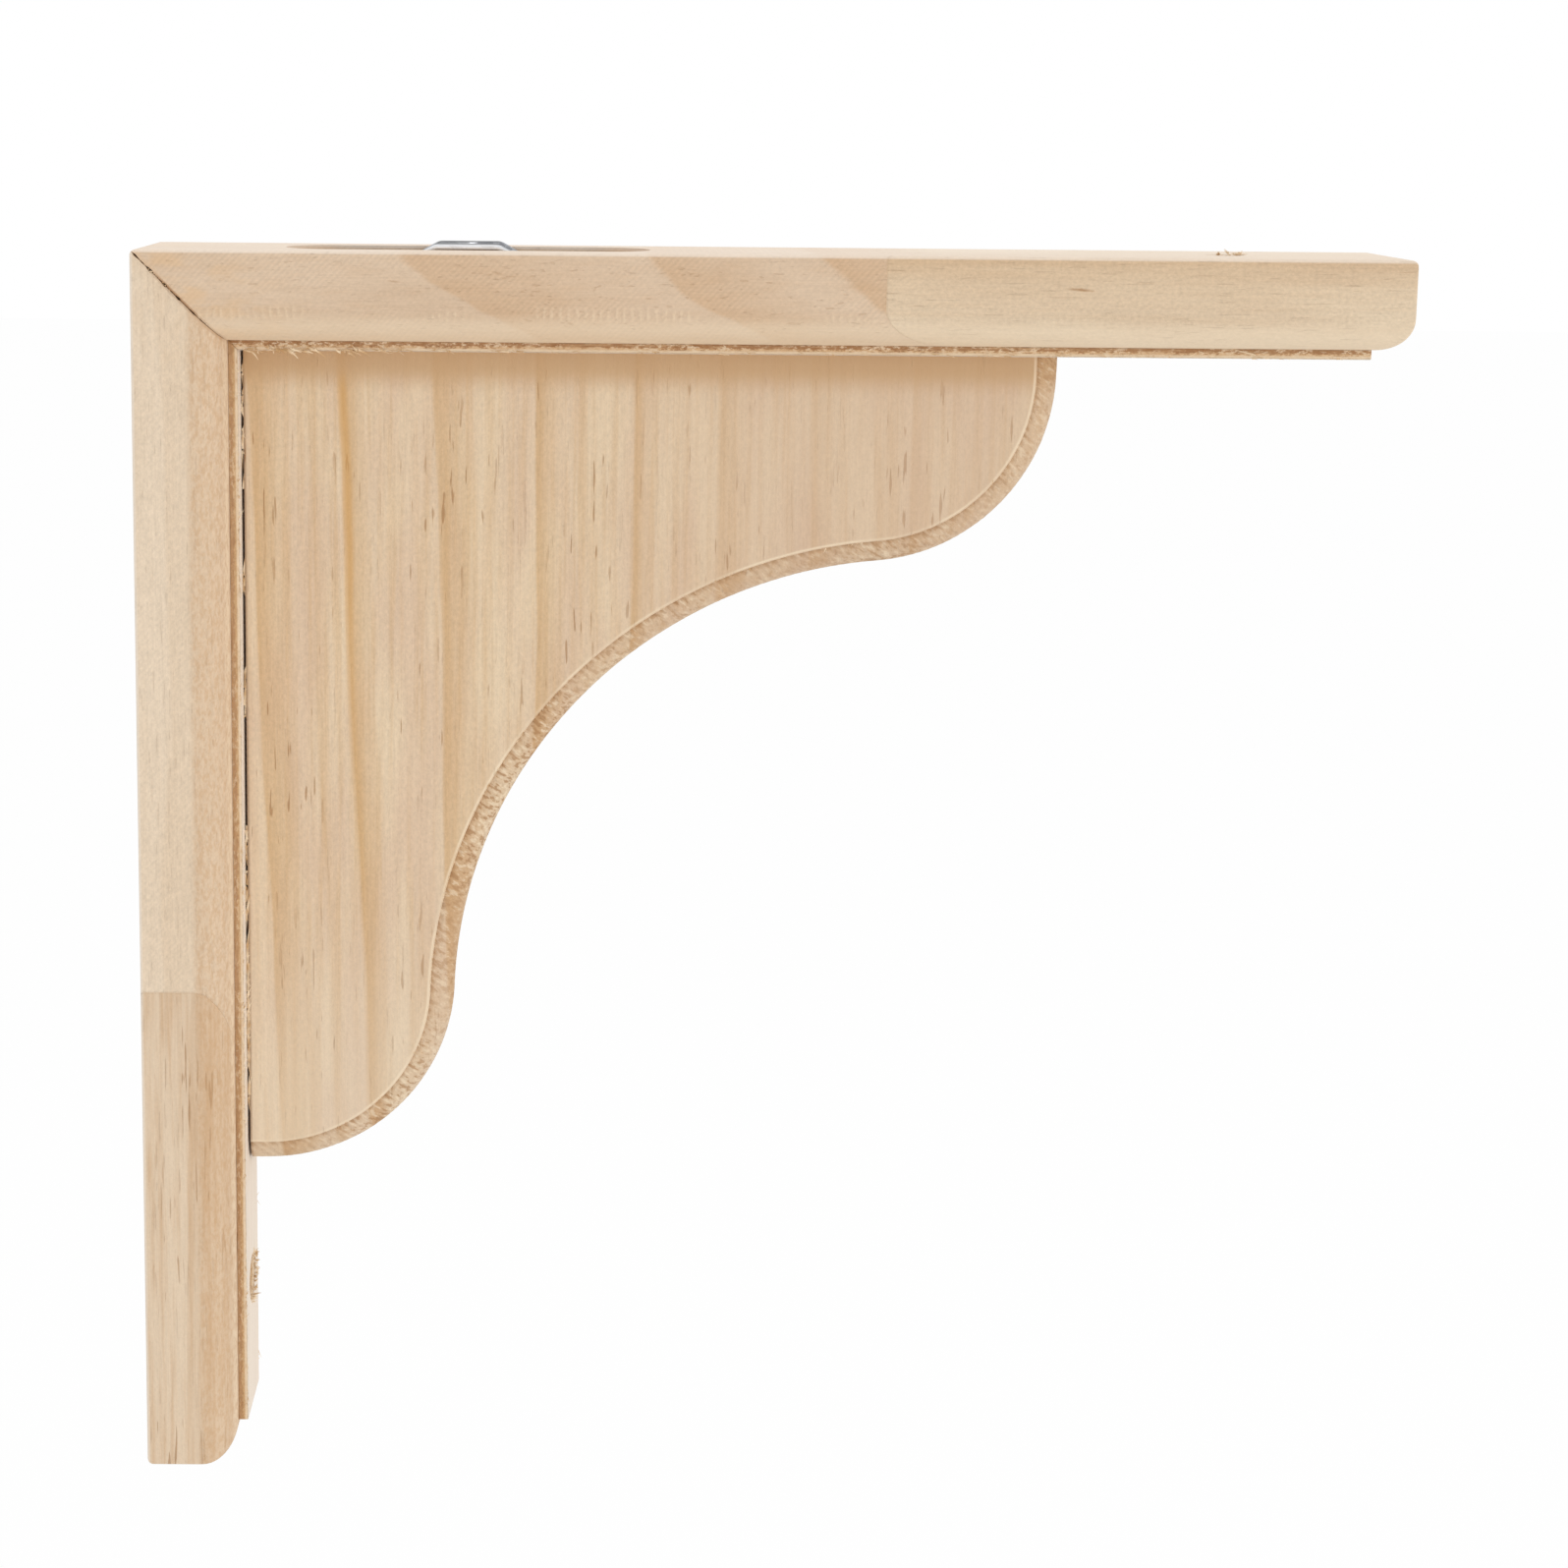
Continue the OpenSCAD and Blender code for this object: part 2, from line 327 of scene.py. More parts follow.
@dataclass(frozen=True)
class PineBoard:
    """One stick of pine: colours, growth rings and grain. Places run along its grain, across and through."""

    light: Colour = srgb(222, 201, 174)
    warm: Colour = srgb(214, 187, 158)
    late: Colour = srgb(196, 158, 112)
    dark: Colour = srgb(158, 112, 66)
    ring_direction: Point = (0.0, 1.0, 0.2)
    ring_width: float = 15.0
    ring_offset: float = 0.0
    ring_edge: float = 0.03
    ring_fade: float = 4.0
    ring_strength: float = 0.5
    wander: float = 5.0
    wander_pattern: Pattern = Pattern((60.0, 22.0, 22.0), 1.5, 3.1)
    streak: float = 0.35
    streak_size: Point = (26.0, 0.75, 0.75)
    streak_rough: float = 0.62
    streak_dark: Range = (0.40, 0.74)
    streak_pale: Range = (0.24, 0.46)
    pale_share: float = 0.6
    pores: float = 0.35
    pore_size: Point = (5.0, 0.42, 0.6)
    pore_limit: float = 0.66
    pore_edge: float = 0.07
    pore_patch: Pattern = Pattern((30.0, 12.0, 12.0), 1.0, 2.4, low=0.42, high=0.62)
    speckle: float = 0.25
    speckle_pattern: Pattern = Pattern((0.7, 0.5, 0.5), 2.0, 4.4, 0.7)
    hair: float = 0.16
    hair_pattern: Pattern = Pattern((9.0, 0.28, 0.28), 2.0, 5.9)
    flame: float = 0.5
    flame_pattern: Pattern = Pattern((38.0, 9.0, 9.0), 2.0, 7.7, low=0.36, high=0.66)
    relief: Rise = (0.5, 0.6, 0.35, -0.5)
    seed: float = 0.0

    def rings(self, g: Graph, spot: Socket) -> Socket:
        """Strength of the late wood: it starts sharply at each ring and fades away from it.

        Args:
            g: the graph.
            spot: place in millimetres.

        Returns:
            0 for early wood to 1 for late wood.
        """
        wander = g.noise(spot, self.wander_pattern, self.seed)
        reach = g.fused(wander, self.wander, g.vector("DOT_PRODUCT", spot, self.ring_direction))
        phase = g.math("FRACT", g.fused(reach, 1 / self.ring_width, self.ring_offset))
        late = g.math("POWER", g.less(1.0, phase), self.ring_fade)
        return g.times(late, g.span(phase, 0.0, self.ring_edge))

    def paint(self, g: Graph, spot: Socket, late: Socket | None = None) -> tuple[Socket, Socket]:
        """Colour and height of the planed wood.

        Args:
            g: the graph.
            spot: place in millimetres.
            late: late wood, where the board's own even rings aren't wanted.

        Returns:
            The colour socket and the height socket.
        """
        late = self.rings(g, spot) if late is None else late
        flame = g.patch(spot, self.flame_pattern, self.seed)
        streak = g.noise(spot, Pattern(self.streak_size, 3.0, 1.3, self.streak_rough), self.seed)
        hair = g.noise(spot, self.hair_pattern, self.seed)
        limit = {"low": self.pore_limit, "high": self.pore_limit + self.pore_edge}
        pores = g.patch(spot, Pattern(self.pore_size, 1.0, 9.2, **limit), self.seed)
        patch = g.patch(spot, self.pore_patch, self.seed)
        speckle = g.noise(spot, self.speckle_pattern, self.seed)
        colour = g.blend(g.times(flame, self.flame), self.light, self.warm)
        colour = g.blend(g.math("MULTIPLY", late, self.ring_strength, clamp=True), colour, self.late)
        colour = g.blend(g.span(streak, *self.streak_dark, 0.0, self.streak), colour, self.late)
        lift = g.span(streak, *self.streak_pale, self.streak * self.pale_share, 0.0)
        colour = g.blend(lift, colour, self.light)
        colour = g.blend(g.times(g.times(pores, patch), self.pores), colour, self.dark)
        grain = g.total((self.speckle, g.less(speckle, 0.5)), (self.hair, g.less(hair, 0.5)))
        colour = g.vector("SCALE", colour, scale=g.plus(1.0, grain))
        return colour, g.total(*zip(self.relief, (streak, speckle, hair, pores)))


@dataclass(frozen=True)
class RoutedSkin:
    """What a router leaves: torn, darker wood with chatter across the cut."""

    torn: Colour = srgb(196, 156, 114)
    pale: Colour = srgb(236, 212, 180)
    pitch: float = 1.25
    drift: float = 9.0
    drift_pattern: Pattern = Pattern((4.0, 4.0, 4.0))
    wave: float = 0.45
    grit: float = 0.9
    grit_level: float = 0.22
    grit_pattern: Pattern = Pattern((0.55, 0.55, 0.55), 3.0, 2.0, 0.7)

    def chatter(self, g: Graph, across: Socket, spot: Socket, seed: float) -> Socket:
        """Ridges left by the cutter, 0 in their troughs and 1 on their tops.

        Args:
            g: the graph.
            across: distance in millimetres square to the ridges.
            spot: place in millimetres.
            seed: picks the pattern.

        Returns:
            The height of the ridges.
        """
        drift = g.noise(spot, self.drift_pattern, seed)
        phase = g.fused(across, math.tau / self.pitch, g.times(drift, self.drift))
        wave = g.fused(g.math("SINE", phase), 0.5, 0.5)
        grit = g.noise(spot, self.grit_pattern, seed)
        return g.total((self.wave, wave), (self.grit, g.less(grit, self.grit_level)))


class Finish:
    """Base of the finishes: makes a material with a graph and a principled surface."""

    @staticmethod
    def start(name: str) -> tuple[bpy.types.Material, Graph, bpy.types.Node]:
        """Starts a material.

        Args:
            name: the material's name.

        Returns:
            The material, its graph and its principled shader node.
        """
        material = bpy.data.materials.new(name)
        material.use_nodes = True
        shader = material.node_tree.nodes["Principled BSDF"]
        return material, Graph(material.node_tree), shader

    @staticmethod
    def bump(g: Graph, shader: bpy.types.Node, height: Socket, depth: float) -> None:
        """Gives the surface relief, whose depth is the metres that a height of 1 stands for."""
        node = g.node("ShaderNodeBump", {"Height": height, "Distance": depth})
        g.put(shader.inputs["Normal"], node.outputs[0])


@dataclass(frozen=True)
class GrowthRing:
    """One growth ring that shows: where its sharp side is, how far it fades and how strong it is."""

    at: float
    fade: float
    strength: float


def late_wood_at(g: Graph, place: Socket, rings: Sequence[GrowthRing], sharp: float) -> Socket:
    """Late wood of single growth rings.

    Args:
        g: the material's graph.
        place: millimetres square to the rings.
        rings: the rings in order.
        sharp: width of each ring's sharp side.

    Returns:
        0 for early wood to 1 for late wood.
    """
    first = rings[0].at - 2 * sharp
    length = rings[-1].at + rings[-1].fade + 2 * sharp - first
    share = g.fused(place, 1 / length, -first / length)
    stops: list[Range] = [(0.0, 0.0)]
    for ring in rings:
        start = (ring.at - first) / length
        stops.append((start - sharp / length, 0.0))
        stops.append((start, ring.strength))
        stops.append((start + ring.fade / length, 0.0))
    return g.ramp(share, stops)


@dataclass(frozen=True)
class ResinMark:
    """One dark resin streak on an arm's faces: its middle, its size and how strong it is."""

    along: float
    depth: float
    length: float
    width: float
    strength: float
    slant: float = 0.35
    ragged: float = 1.2
    rim: Range = (0.9, 1.9)

    def share(self, g: Graph, along: Socket, depth: Socket, grain: Socket) -> Socket:
        """How much of the streak shows.

        Args:
            g: the graph.
            along: millimetres along the arm.
            depth: millimetres below the outer face.
            grain: height of the wood, which makes the ends ragged.

        Returns:
            0 beside the streak to its strength in its middle.
        """
        reach = g.math("DIVIDE", g.less(along, self.along), self.length / 2)
        across = g.less(depth, g.fused(reach, self.slant * self.width, self.depth))
        across = g.math("DIVIDE", across, self.width / 2)
        away = g.math("SQRT", g.plus(g.times(reach, reach), g.times(across, across)))
        return g.span(g.fused(grain, self.ragged, away), *self.rim, self.strength, 0.0)


@dataclass(frozen=True)
class ArmPlace:
    """A place on an arm: the vector and its parts in millimetres, and where it is to the finger joint.

    Past is 0 on the board by the mitre and 1 on the other, and seam is the strength of the glue line.
    """

    spot: Socket
    along: Socket
    depth: Socket
    side: Socket
    past: Socket
    seam: Socket


@dataclass(frozen=True)
class ArmFinish(Finish):
    """Finger-jointed pine of a routed arm, planed on its faces and rough where it was routed.

    Depths are millimetres below the outer face, and sides are millimetres from the middle of the width.
    """

    place: Place
    near: PineBoard
    far: PineBoard
    joint_at: float
    top_z: float = 100.0
    half_width: float = 13.5
    tooth_length: float = 9.0
    tooth_pitch: float = 4.6
    glue_width: float = 0.12
    glue_share: float = 0.15
    glue: Colour = srgb(196, 160, 122)
    marks: tuple[ResinMark, ...] = ()
    rings: tuple[GrowthRing, ...] = ()
    ring_edge: float = 1.3
    ring_slope: float = 0.85
    ring_bend: float = 0.05
    ring_wander: float = 7.0
    ring_pattern: Pattern = Pattern((14.0, 7.0, 9.0), 2.0, 25.0)
    corner_tan: float = 0.5
    corner_reach: Range = (2.0, 22.0)
    corner_cloud: Pattern = Pattern((7.0, 2.6, 4.0), 2.5, 41.0, 0.6, 0.42, 0.64)
    corner_edge: Range = (0.3, 1.6)
    corner_edge_share: float = 0.55
    mitre_colour: Colour = srgb(150, 102, 58)
    mitre_stain: float = 0.8
    mitre_edge: Range = (0.22, 0.75)
    mitre_depth: Range = (1.0, 6.0)
    saw_pitch: float = 0.72
    saw_marks: float = 0.034
    saw_drift: float = 4.0
    saw_pattern: Pattern = Pattern((6.0, 6.0, 6.0), 1.0, 43.0)
    saw_patch: Pattern = Pattern((16.0, 6.0, 9.0), 1.0, 45.0, low=0.4, high=0.6, to_low=0.25)
    # Painted light: the outer faces and the raised inner faces are drawn paler, for the light on the shelf's
    # top and on the leg's side towards the web.
    lit_face_colour: Colour = srgb(240, 228, 214)
    lit_outer_share: float = 0.6
    lit_outer_edge: Range = (0.25, 0.6)
    lit_inner_share: float = 0.72
    lit_inner_edge: Range = (15.86, 15.93)
    routed: RoutedSkin = RoutedSkin()
    routed_side: Range = (7.7, 8.0)
    round_tint: float = 0.3
    # Painted light: the lower part of the shelf's quarter round, which faces down, is drawn paler, as if lit
    # from below.
    round_painted_light: float = 0.0
    round_edge: Range = (8.2, 9.6)
    painted_light_edge: Range = (9.0, 12.0)
    ripples: float = 0.0
    ripple_depth: Band = (8.6, 10.6, 0.7)
    ripple_side: Range = (8.0, 8.4)
    ripple_top: Range = (0.46, 0.8)
    ripple_patch: Pattern = Pattern((14.0, 5.0, 5.0), 2.0, 13.0, low=0.42, high=0.54)
    fleck_pattern: Pattern = Pattern((1.3, 0.6, 0.6), 2.5, 15.0, 0.7)
    # Painted highlight: a pale line at the foot of the quarter round takes this colour, as does the painted
    # light on the lower round.
    highlight_colour: Colour = srgb(236, 215, 186)
    lip_highlight_edge: Range = (13.6, 14.3)
    step_colour: Colour = srgb(220, 182, 138)
    # Dark of the step wall: torn wood, and the painted shadow under the quarter round.
    step_dark_torn_and_shade: Colour = srgb(164, 114, 68)
    step_torn: float = 1.0
    step_depth: Band = (14.42, 15.9, 0.06)
    step_side: Range = (7.7, 7.95)
    step_share: float = 0.9
    step_streak: Pattern = Pattern((5.0, 0.35, 0.5), 3.0, 17.0, 0.65)
    step_tears: Pattern = Pattern((1.15, 0.5, 0.6), 3.0, 19.0, 0.75)
    step_patch: Pattern = Pattern((22.0, 8.0, 8.0), 2.0, 23.0, low=0.36, high=0.54, to_low=0.25)
    # Depths of the painted shadow at the top of the step wall, and how much torn wood moves its edge.
    step_shadow_depth: Range = (14.95, 15.25)
    shadow_wander: float = 1.6
    # A pale line at the foot of the step wall: partly lifted fibres, partly a painted highlight on the arris.
    arris_wear_and_highlight: Range = (15.36, 15.56)
    relief: float = 0.00009
    roughness: float = 0.68
    roughness_spread: Range = (-0.06, 0.08)
    specular: float = 0.32

    def locate(self, g: Graph) -> ArmPlace:
        """Finds the place on the arm.

        Args:
            g: the graph.

        Returns:
            The place.
        """
        x, y, z = g.split(g.object_place())
        drop = g.fused(z, -1 / MM, self.top_z)
        reach = g.times(x, 1 / MM)
        width = g.times(y, 1 / MM)
        along, depth = (reach, drop) if self.place is Place.SHELF else (drop, reach)
        tooth = g.math("PINGPONG", g.plus(width, self.half_width), self.tooth_pitch)
        line = g.times(tooth, self.tooth_length / self.tooth_pitch)
        past = g.less(g.less(along, self.joint_at), line)
        seam = g.fade(g.math("ABSOLUTE", past), self.glue_width * 0.5, self.glue_width * 2)
        return ArmPlace(g.join(along, depth, width), along, depth, g.math("ABSOLUTE", width),
                        g.math("GREATER_THAN", past, 0.0), seam)

    def slanting_rings(self, g: Graph, at: ArmPlace) -> Socket | None:
        """Late wood of the rings that cross the arm on a bent slant, where it has any.

        Args:
            g: the graph.
            at: the place.

        Returns:
            0 for early wood to 1 for late wood, or nothing.
        """
        if not self.rings:
            return None
        slope = g.fused(at.depth, self.ring_bend, self.ring_slope)
        place = g.less(at.along, g.times(at.depth, slope))
        wander = g.less(g.noise(at.spot, self.ring_pattern, self.near.seed), 0.5)
        return late_wood_at(g, g.fused(wander, self.ring_wander, place), self.rings, self.ring_edge)

    def near_corner(self, g: Graph, at: ArmPlace, colour: Socket) -> Socket:
        """Tan stains and flecks beside the mitre.

        Args:
            g: the graph.
            at: the place.
            colour: the wood's colour so far.

        Returns:
            The stained colour.
        """
        away = g.less(at.along, at.depth)
        near = g.fade(away, *self.corner_reach)
        cloud = g.patch(at.spot, self.corner_cloud, self.near.seed)
        edge = g.span(away, *self.corner_edge, self.corner_edge_share, 0.0)
        stain = g.math("MAXIMUM", g.times(near, cloud), edge)
        colour = g.blend(g.times(stain, self.corner_tan), colour, self.step_colour)
        joint = g.span(away, *self.mitre_edge, self.mitre_stain, 0.0)
        return g.blend(g.times(joint, g.span(at.depth, *self.mitre_depth)), colour, self.mitre_colour)

    def saw(self, g: Graph, at: ArmPlace, colour: Socket) -> Socket:
        """Fine slanting lines of the planer across the board by the mitre.

        Args:
            g: the graph.
            at: the place.
            colour: the wood's colour so far.

        Returns:
            The colour with its lines.
        """
        slant = g.times(g.plus(at.along, at.depth), math.sqrt(0.5) * math.tau / self.saw_pitch)
        drift = g.times(g.noise(at.spot, self.saw_pattern, self.near.seed), self.saw_drift)
        line = g.math("SINE", g.plus(slant, drift))
        where = g.patch(at.spot, self.saw_patch, self.near.seed)
        share = g.times(g.times(where, self.saw_marks), g.less(1.0, at.past))
        return g.vector("SCALE", colour, scale=g.fused(line, share, 1.0))

    def step_wall(self, g: Graph, at: ArmPlace) -> tuple[Socket, Socket, Socket]:
        """Torn wood of the wall between the quarter round and the raised inner face, with painted shadow of
        the round at its top and a pale arris at its foot that is partly fibres and partly a painted highlight.

        Args:
            g: the graph.
            at: the place.

        Returns:
            How much of it shows, its colour and its roughness of surface.
        """
        wall = g.times(g.band(at.depth, *self.step_depth), g.fade(at.side, *self.step_side))
        streak = g.noise(at.spot, self.step_streak, self.near.seed)
        torn = g.noise(at.spot, self.step_tears, self.near.seed)
        # Painted shadow: the top of the step wall, under the overhanging quarter round, is darkened in
        # streaks.
        foot = g.fade(g.fused(g.less(torn, 0.5), self.shadow_wander, at.depth), *self.step_shadow_depth)
        dark = g.times(foot, g.span(streak, 0.34, 0.6, 0.45, 1.0))
        ragged = g.patch(at.spot, self.step_patch, self.near.seed)
        fleck = g.times(g.span(torn, 0.52, 0.6, 0.0, 0.95 * self.step_torn), ragged)
        grit = g.times(g.span(torn, 0.38, 0.47, self.step_torn, 0.0), ragged)
        colour = g.blend(dark, self.step_colour, self.step_dark_torn_and_shade)
        colour = g.blend(grit, colour, self.step_dark_torn_and_shade)
        colour = g.blend(fleck, colour, self.routed.pale)
        # Pale arris at the foot of the step wall, partly a painted highlight.
        colour = g.blend(g.span(at.depth, *self.arris_wear_and_highlight, 0.0, 0.9), colour, self.routed.pale)
        return g.times(wall, self.step_share), colour, torn

    def timber(self, g: Graph, at: ArmPlace) -> tuple[Socket, Socket]:
        """The two jointed boards with their stains, lines and resin marks, and painted light on the outer
        face.

        Args:
            g: the graph.
            at: the place.

        Returns:
            The colour and the height.
        """
        near_colour, near_height = self.near.paint(g, at.spot, self.slanting_rings(g, at))
        far_colour, far_height = self.far.paint(g, at.spot)
        height = g.plus(g.times(at.past, far_height), g.times(g.less(1.0, at.past), near_height))
        colour = self.near_corner(g, at, g.blend(at.past, near_colour, far_colour))
        colour = self.saw(g, at, colour)
        for mark in self.marks:
            colour = g.blend(mark.share(g, at.along, at.depth, near_height), colour, self.near.dark)
        # Painted light: the outer face is drawn paler.
        outer = g.fade(at.depth, *self.lit_outer_edge)
        return g.blend(g.times(outer, self.lit_outer_share), colour, self.lit_face_colour), height

    def build(self, name: str) -> bpy.types.Material:
        """Makes the material.

        Args:
            name: the material's name.

        Returns:
            The material.
        """
        material, g, shader = self.start(name)
        at = self.locate(g)
        colour, height = self.timber(g, at)
        beside = g.span(at.side, *self.routed_side)
        rim = g.times(g.span(at.depth, *self.round_edge), beside)
        chatter = self.routed.chatter(g, at.along, at.spot, self.near.seed + 11)
        ridges = g.times(g.band(at.depth, *self.ripple_depth), g.span(at.side, *self.ripple_side))
        ridges = g.times(ridges, g.patch(at.spot, self.ripple_patch, self.near.seed))
        fleck = g.noise(at.spot, self.fleck_pattern, self.near.seed)
        tint = g.times(rim, g.times(g.span(fleck, 0.34, 0.62, 1.0, 0.45), self.round_tint))
        colour = g.blend(tint, colour, self.routed.torn)
        pale = g.times(ridges, g.span(chatter, *self.ripple_top, 0.0, self.ripples))
        colour = g.blend(g.times(pale, g.less(1.0, at.past)), colour, self.routed.pale)
        # Painted light: the raised inner face is drawn paler.
        inner = g.times(g.span(at.depth, *self.lit_inner_edge), self.lit_inner_share)
        colour = g.blend(inner, colour, self.lit_face_colour)
        # Painted light on the lower part of the quarter round.
        lift = g.times(g.times(g.span(at.depth, *self.painted_light_edge), beside), self.round_painted_light)
        colour = g.blend(lift, colour, self.highlight_colour)
        # Painted highlight along the foot of the quarter round.
        lip = g.times(g.span(at.depth, *self.lip_highlight_edge), beside)
        colour = g.blend(g.times(lip, g.span(fleck, 0.35, 0.6, 0.25, 0.75)), colour, self.highlight_colour)
        step, step_colour, torn = self.step_wall(g, at)
        colour = g.blend(step, colour, step_colour)
        colour = g.blend(g.times(at.seam, self.glue_share), colour, self.glue)
        smooth, rough = (self.roughness + spread for spread in self.roughness_spread)
        relief = g.total((1.0, height), (1.4, g.times(ridges, chatter)), (4.0, g.times(step, torn)),
                         (-0.6, at.seam), (1.0, g.times(rim, fleck)))
        g.put(shader.inputs["Base Color"], colour)
        g.put(shader.inputs["Roughness"], g.span(fleck, 0.3, 0.7, smooth, rough))
        shader.inputs["Specular IOR Level"].default_value = self.specular
        self.bump(g, shader, relief, self.relief)
        return material


@dataclass(frozen=True)
class WebFinish(Finish):
    """Pine of the web, its grain upright, with torn wood along its routed edge, and painted shade under the
    shelf arm, by the gap at the leg and on the edge's step walls.

    In millimetres, across is the place from the wall, up is the height and side is the place from the middle.
    """

    board: PineBoard
    rings: tuple[GrowthRing, ...]
    ring_edge: float = 0.35
    ring_wander: float = 3.0
    ring_pattern: Pattern = Pattern((55.0, 30.0, 12.0), 2.0, 21.0)
    top_z: float = 84.0
    lean: float = 0.042
    lean_until: Range = (34.0, 62.0)
    amber: Colour = srgb(208, 158, 92)
    amber_band: Band = (31.0, 32.5, 0.4)
    amber_rise: Rise = (5.0, 55.0, 0.1, 0.5)
    far_tint: Colour = srgb(204, 174, 148)
    far_rise: Rise = (62.0, 108.0, 0.0, 0.4)
    foot_tint: Colour = srgb(226, 208, 184)
    foot_rise: Rise = (-45.0, 5.0, 0.4, 0.0)
    # Painted shade: the web's face turns this dark brown right beside the gap at the leg, for the shade inside
    # the gap.
    gap_shade_colour: Colour = srgb(120, 80, 48)
    gap_shade_rise: Rise = (16.45, 16.9, 0.6, 0.0)
    # Painted shade: the web's top darkens to this brown under the shelf arm, standing in for the arm's shadow.
    arm_shadow_colour: Colour = srgb(196, 158, 116)
    corner_shade: float = 0.85
    arm_shadow_up: Range = (76.8, 81.6)
    routed: RoutedSkin = RoutedSkin(pale=srgb(240, 220, 190))
    face_edge: Range = (4.41, 4.46)
    ridge_edge: Range = (4.18, 4.3)
    # The pale ridge line is partly worn fibres and partly a painted highlight on the lit arris.
    ridge_wear_and_highlight: Pattern = Pattern((9.0, 9.0, 9.0), 2.0, 37.0, low=0.38, high=0.62, to_low=0.3, to_high=0.75)
    # The step wall of the routed edge takes painted shade, darkest in the chatter's troughs, over its torn end
    # grain.
    shaded_wall_side: Band = (3.92, 4.2, 0.08)
    stroke_pattern: Pattern = Pattern((0.7, 1.5, 1.2), 2.0, 35.0, 0.6)
    stroke_patch: Pattern = Pattern((24.0, 24.0, 24.0), 1.5, 33.0, low=0.36, high=0.6, to_low=0.12)
    stroke_dark: Range = (0.53, 0.61)
    stroke_pale: Range = (0.34, 0.46)
    # Dark cutter strokes, and the painted shade of the step wall, take this colour.
    mark_and_shade_colour: Colour = srgb(166, 122, 80)
    relief: float = 0.00009
    torn_relief: float = 2.4
    roughness: float = 0.68
    torn_roughness: float = 0.82
    specular: float = 0.32

    def late_wood(self, g: Graph, across: Socket, up: Socket, spot: Socket) -> tuple[Socket, Socket]:
        """Late wood of the web's own rings, which lean to the right lower down near the leg.

        Args:
            g: the graph.
            across: millimetres from the wall.
            up: height in millimetres.
            spot: place in millimetres as (up, across, through).

        Returns:
            0 for early wood to 1 for late wood, then the place across the rings.
        """
        drop = g.fused(up, -self.lean, self.top_z * self.lean)
        near = g.fade(across, *self.lean_until)
        wander = g.less(g.noise(spot, self.ring_pattern, self.board.seed), 0.5)
        place = g.fused(wander, self.ring_wander, g.less(across, g.times(drop, near)))
        return late_wood_at(g, place, self.rings, self.ring_edge), place

    def torn_edge(self, g: Graph, colour: Socket, late: Socket, spot: Socket, across: Socket, up: Socket,
                  side: Socket) -> tuple[Socket, Socket]:
        """The routed edge: torn wood with strokes of the cutter, and painted shade on the step wall, darkest
        in the chatter's troughs.

        Args:
            g: the graph.
            colour: the planed wood's colour.
            late: late wood of the rings.
            spot: place in millimetres as (up, across, through).
            across: millimetres from the wall.
            up: height in millimetres.
            side: millimetres from the middle.

        Returns:
            The edge's colour and its chatter.
        """
        diagonal = g.times(g.plus(across, up), math.sqrt(0.5))
        chatter = self.routed.chatter(g, diagonal, spot, self.board.seed + 31)
        where = g.patch(spot, self.stroke_patch, self.board.seed)
        stroke = g.noise(g.join(diagonal, up, side), self.stroke_pattern, self.board.seed)
        dark = g.times(g.span(stroke, *self.stroke_dark), where)
        pale = g.times(g.fade(stroke, *self.stroke_pale), g.fused(where, 0.7, 0.3))
        wall = g.band(side, *self.shaded_wall_side)
        ends = g.fused(late, 0.7, g.span(side, 1.0, 4.1, 0.02, 0.3))
        torn = g.blend(ends, colour, self.routed.torn)
        torn = g.blend(g.times(pale, 0.55), torn, self.routed.pale)
        torn = g.blend(g.times(dark, 0.7), torn, self.mark_and_shade_colour)
        # Painted shade on the step wall, darker in the chatter's troughs.
        torn = g.blend(g.times(wall, g.span(chatter, 0.3, 0.7, 0.4, 0.05)), torn, self.mark_and_shade_colour)
        return torn, chatter

    def build(self, name: str) -> bpy.types.Material:
        """Makes the material.

        Args:
            name: the material's name.

        Returns:
            The material.
        """
        material, g, shader = self.start(name)
        x, y, z = g.split(g.object_place())
        across, through, up = g.times(x, 1 / MM), g.times(y, 1 / MM), g.times(z, 1 / MM)
        side = g.math("ABSOLUTE", through)
        spot = g.join(up, across, through)
        late, place = self.late_wood(g, across, up, spot)
        colour, height = self.board.paint(g, spot, late)
        amber = g.times(g.band(place, *self.amber_band), g.span(up, *self.amber_rise))
        colour = g.blend(amber, colour, self.amber)
        colour = g.blend(g.span(across, *self.far_rise), colour, self.far_tint)
        colour = g.blend(g.span(up, *self.foot_rise), colour, self.foot_tint)
        # Painted shade beside the gap at the leg.
        colour = g.blend(g.span(across, *self.gap_shade_rise), colour, self.gap_shade_colour)
        cut = g.fade(side, *self.face_edge)
        band = g.fade(side, *self.ridge_edge)
        rim = g.node("ShaderNodeAttribute", attribute_name="rim").outputs["Fac"]
        ridge = g.less(g.math("MAXIMUM", cut, g.span(rim, 0.05, 0.5)), band)
        # Painted shadow of the shelf arm across the top of the web.
        corner = g.times(g.span(up, *self.arm_shadow_up), self.corner_shade)
        colour = g.blend(corner, colour, self.arm_shadow_colour)
        torn, chatter = self.torn_edge(g, colour, late, spot, across, up, side)
        colour = g.blend(band, colour, torn)
        # Pale ridges: partly worn fibres, partly a painted highlight.
        worn_and_lit = g.patch(spot, self.ridge_wear_and_highlight, self.board.seed)
        colour = g.blend(g.times(ridge, worn_and_lit), colour, self.routed.pale)
        g.put(shader.inputs["Base Color"], colour)
        g.put(shader.inputs["Roughness"], g.span(band, 0.0, 1.0, self.roughness, self.torn_roughness))
        shader.inputs["Specular IOR Level"].default_value = self.specular
        relief = g.total((1.0, height), (self.torn_relief, g.times(band, chatter)))
        self.bump(g, shader, relief, self.relief)
        return material


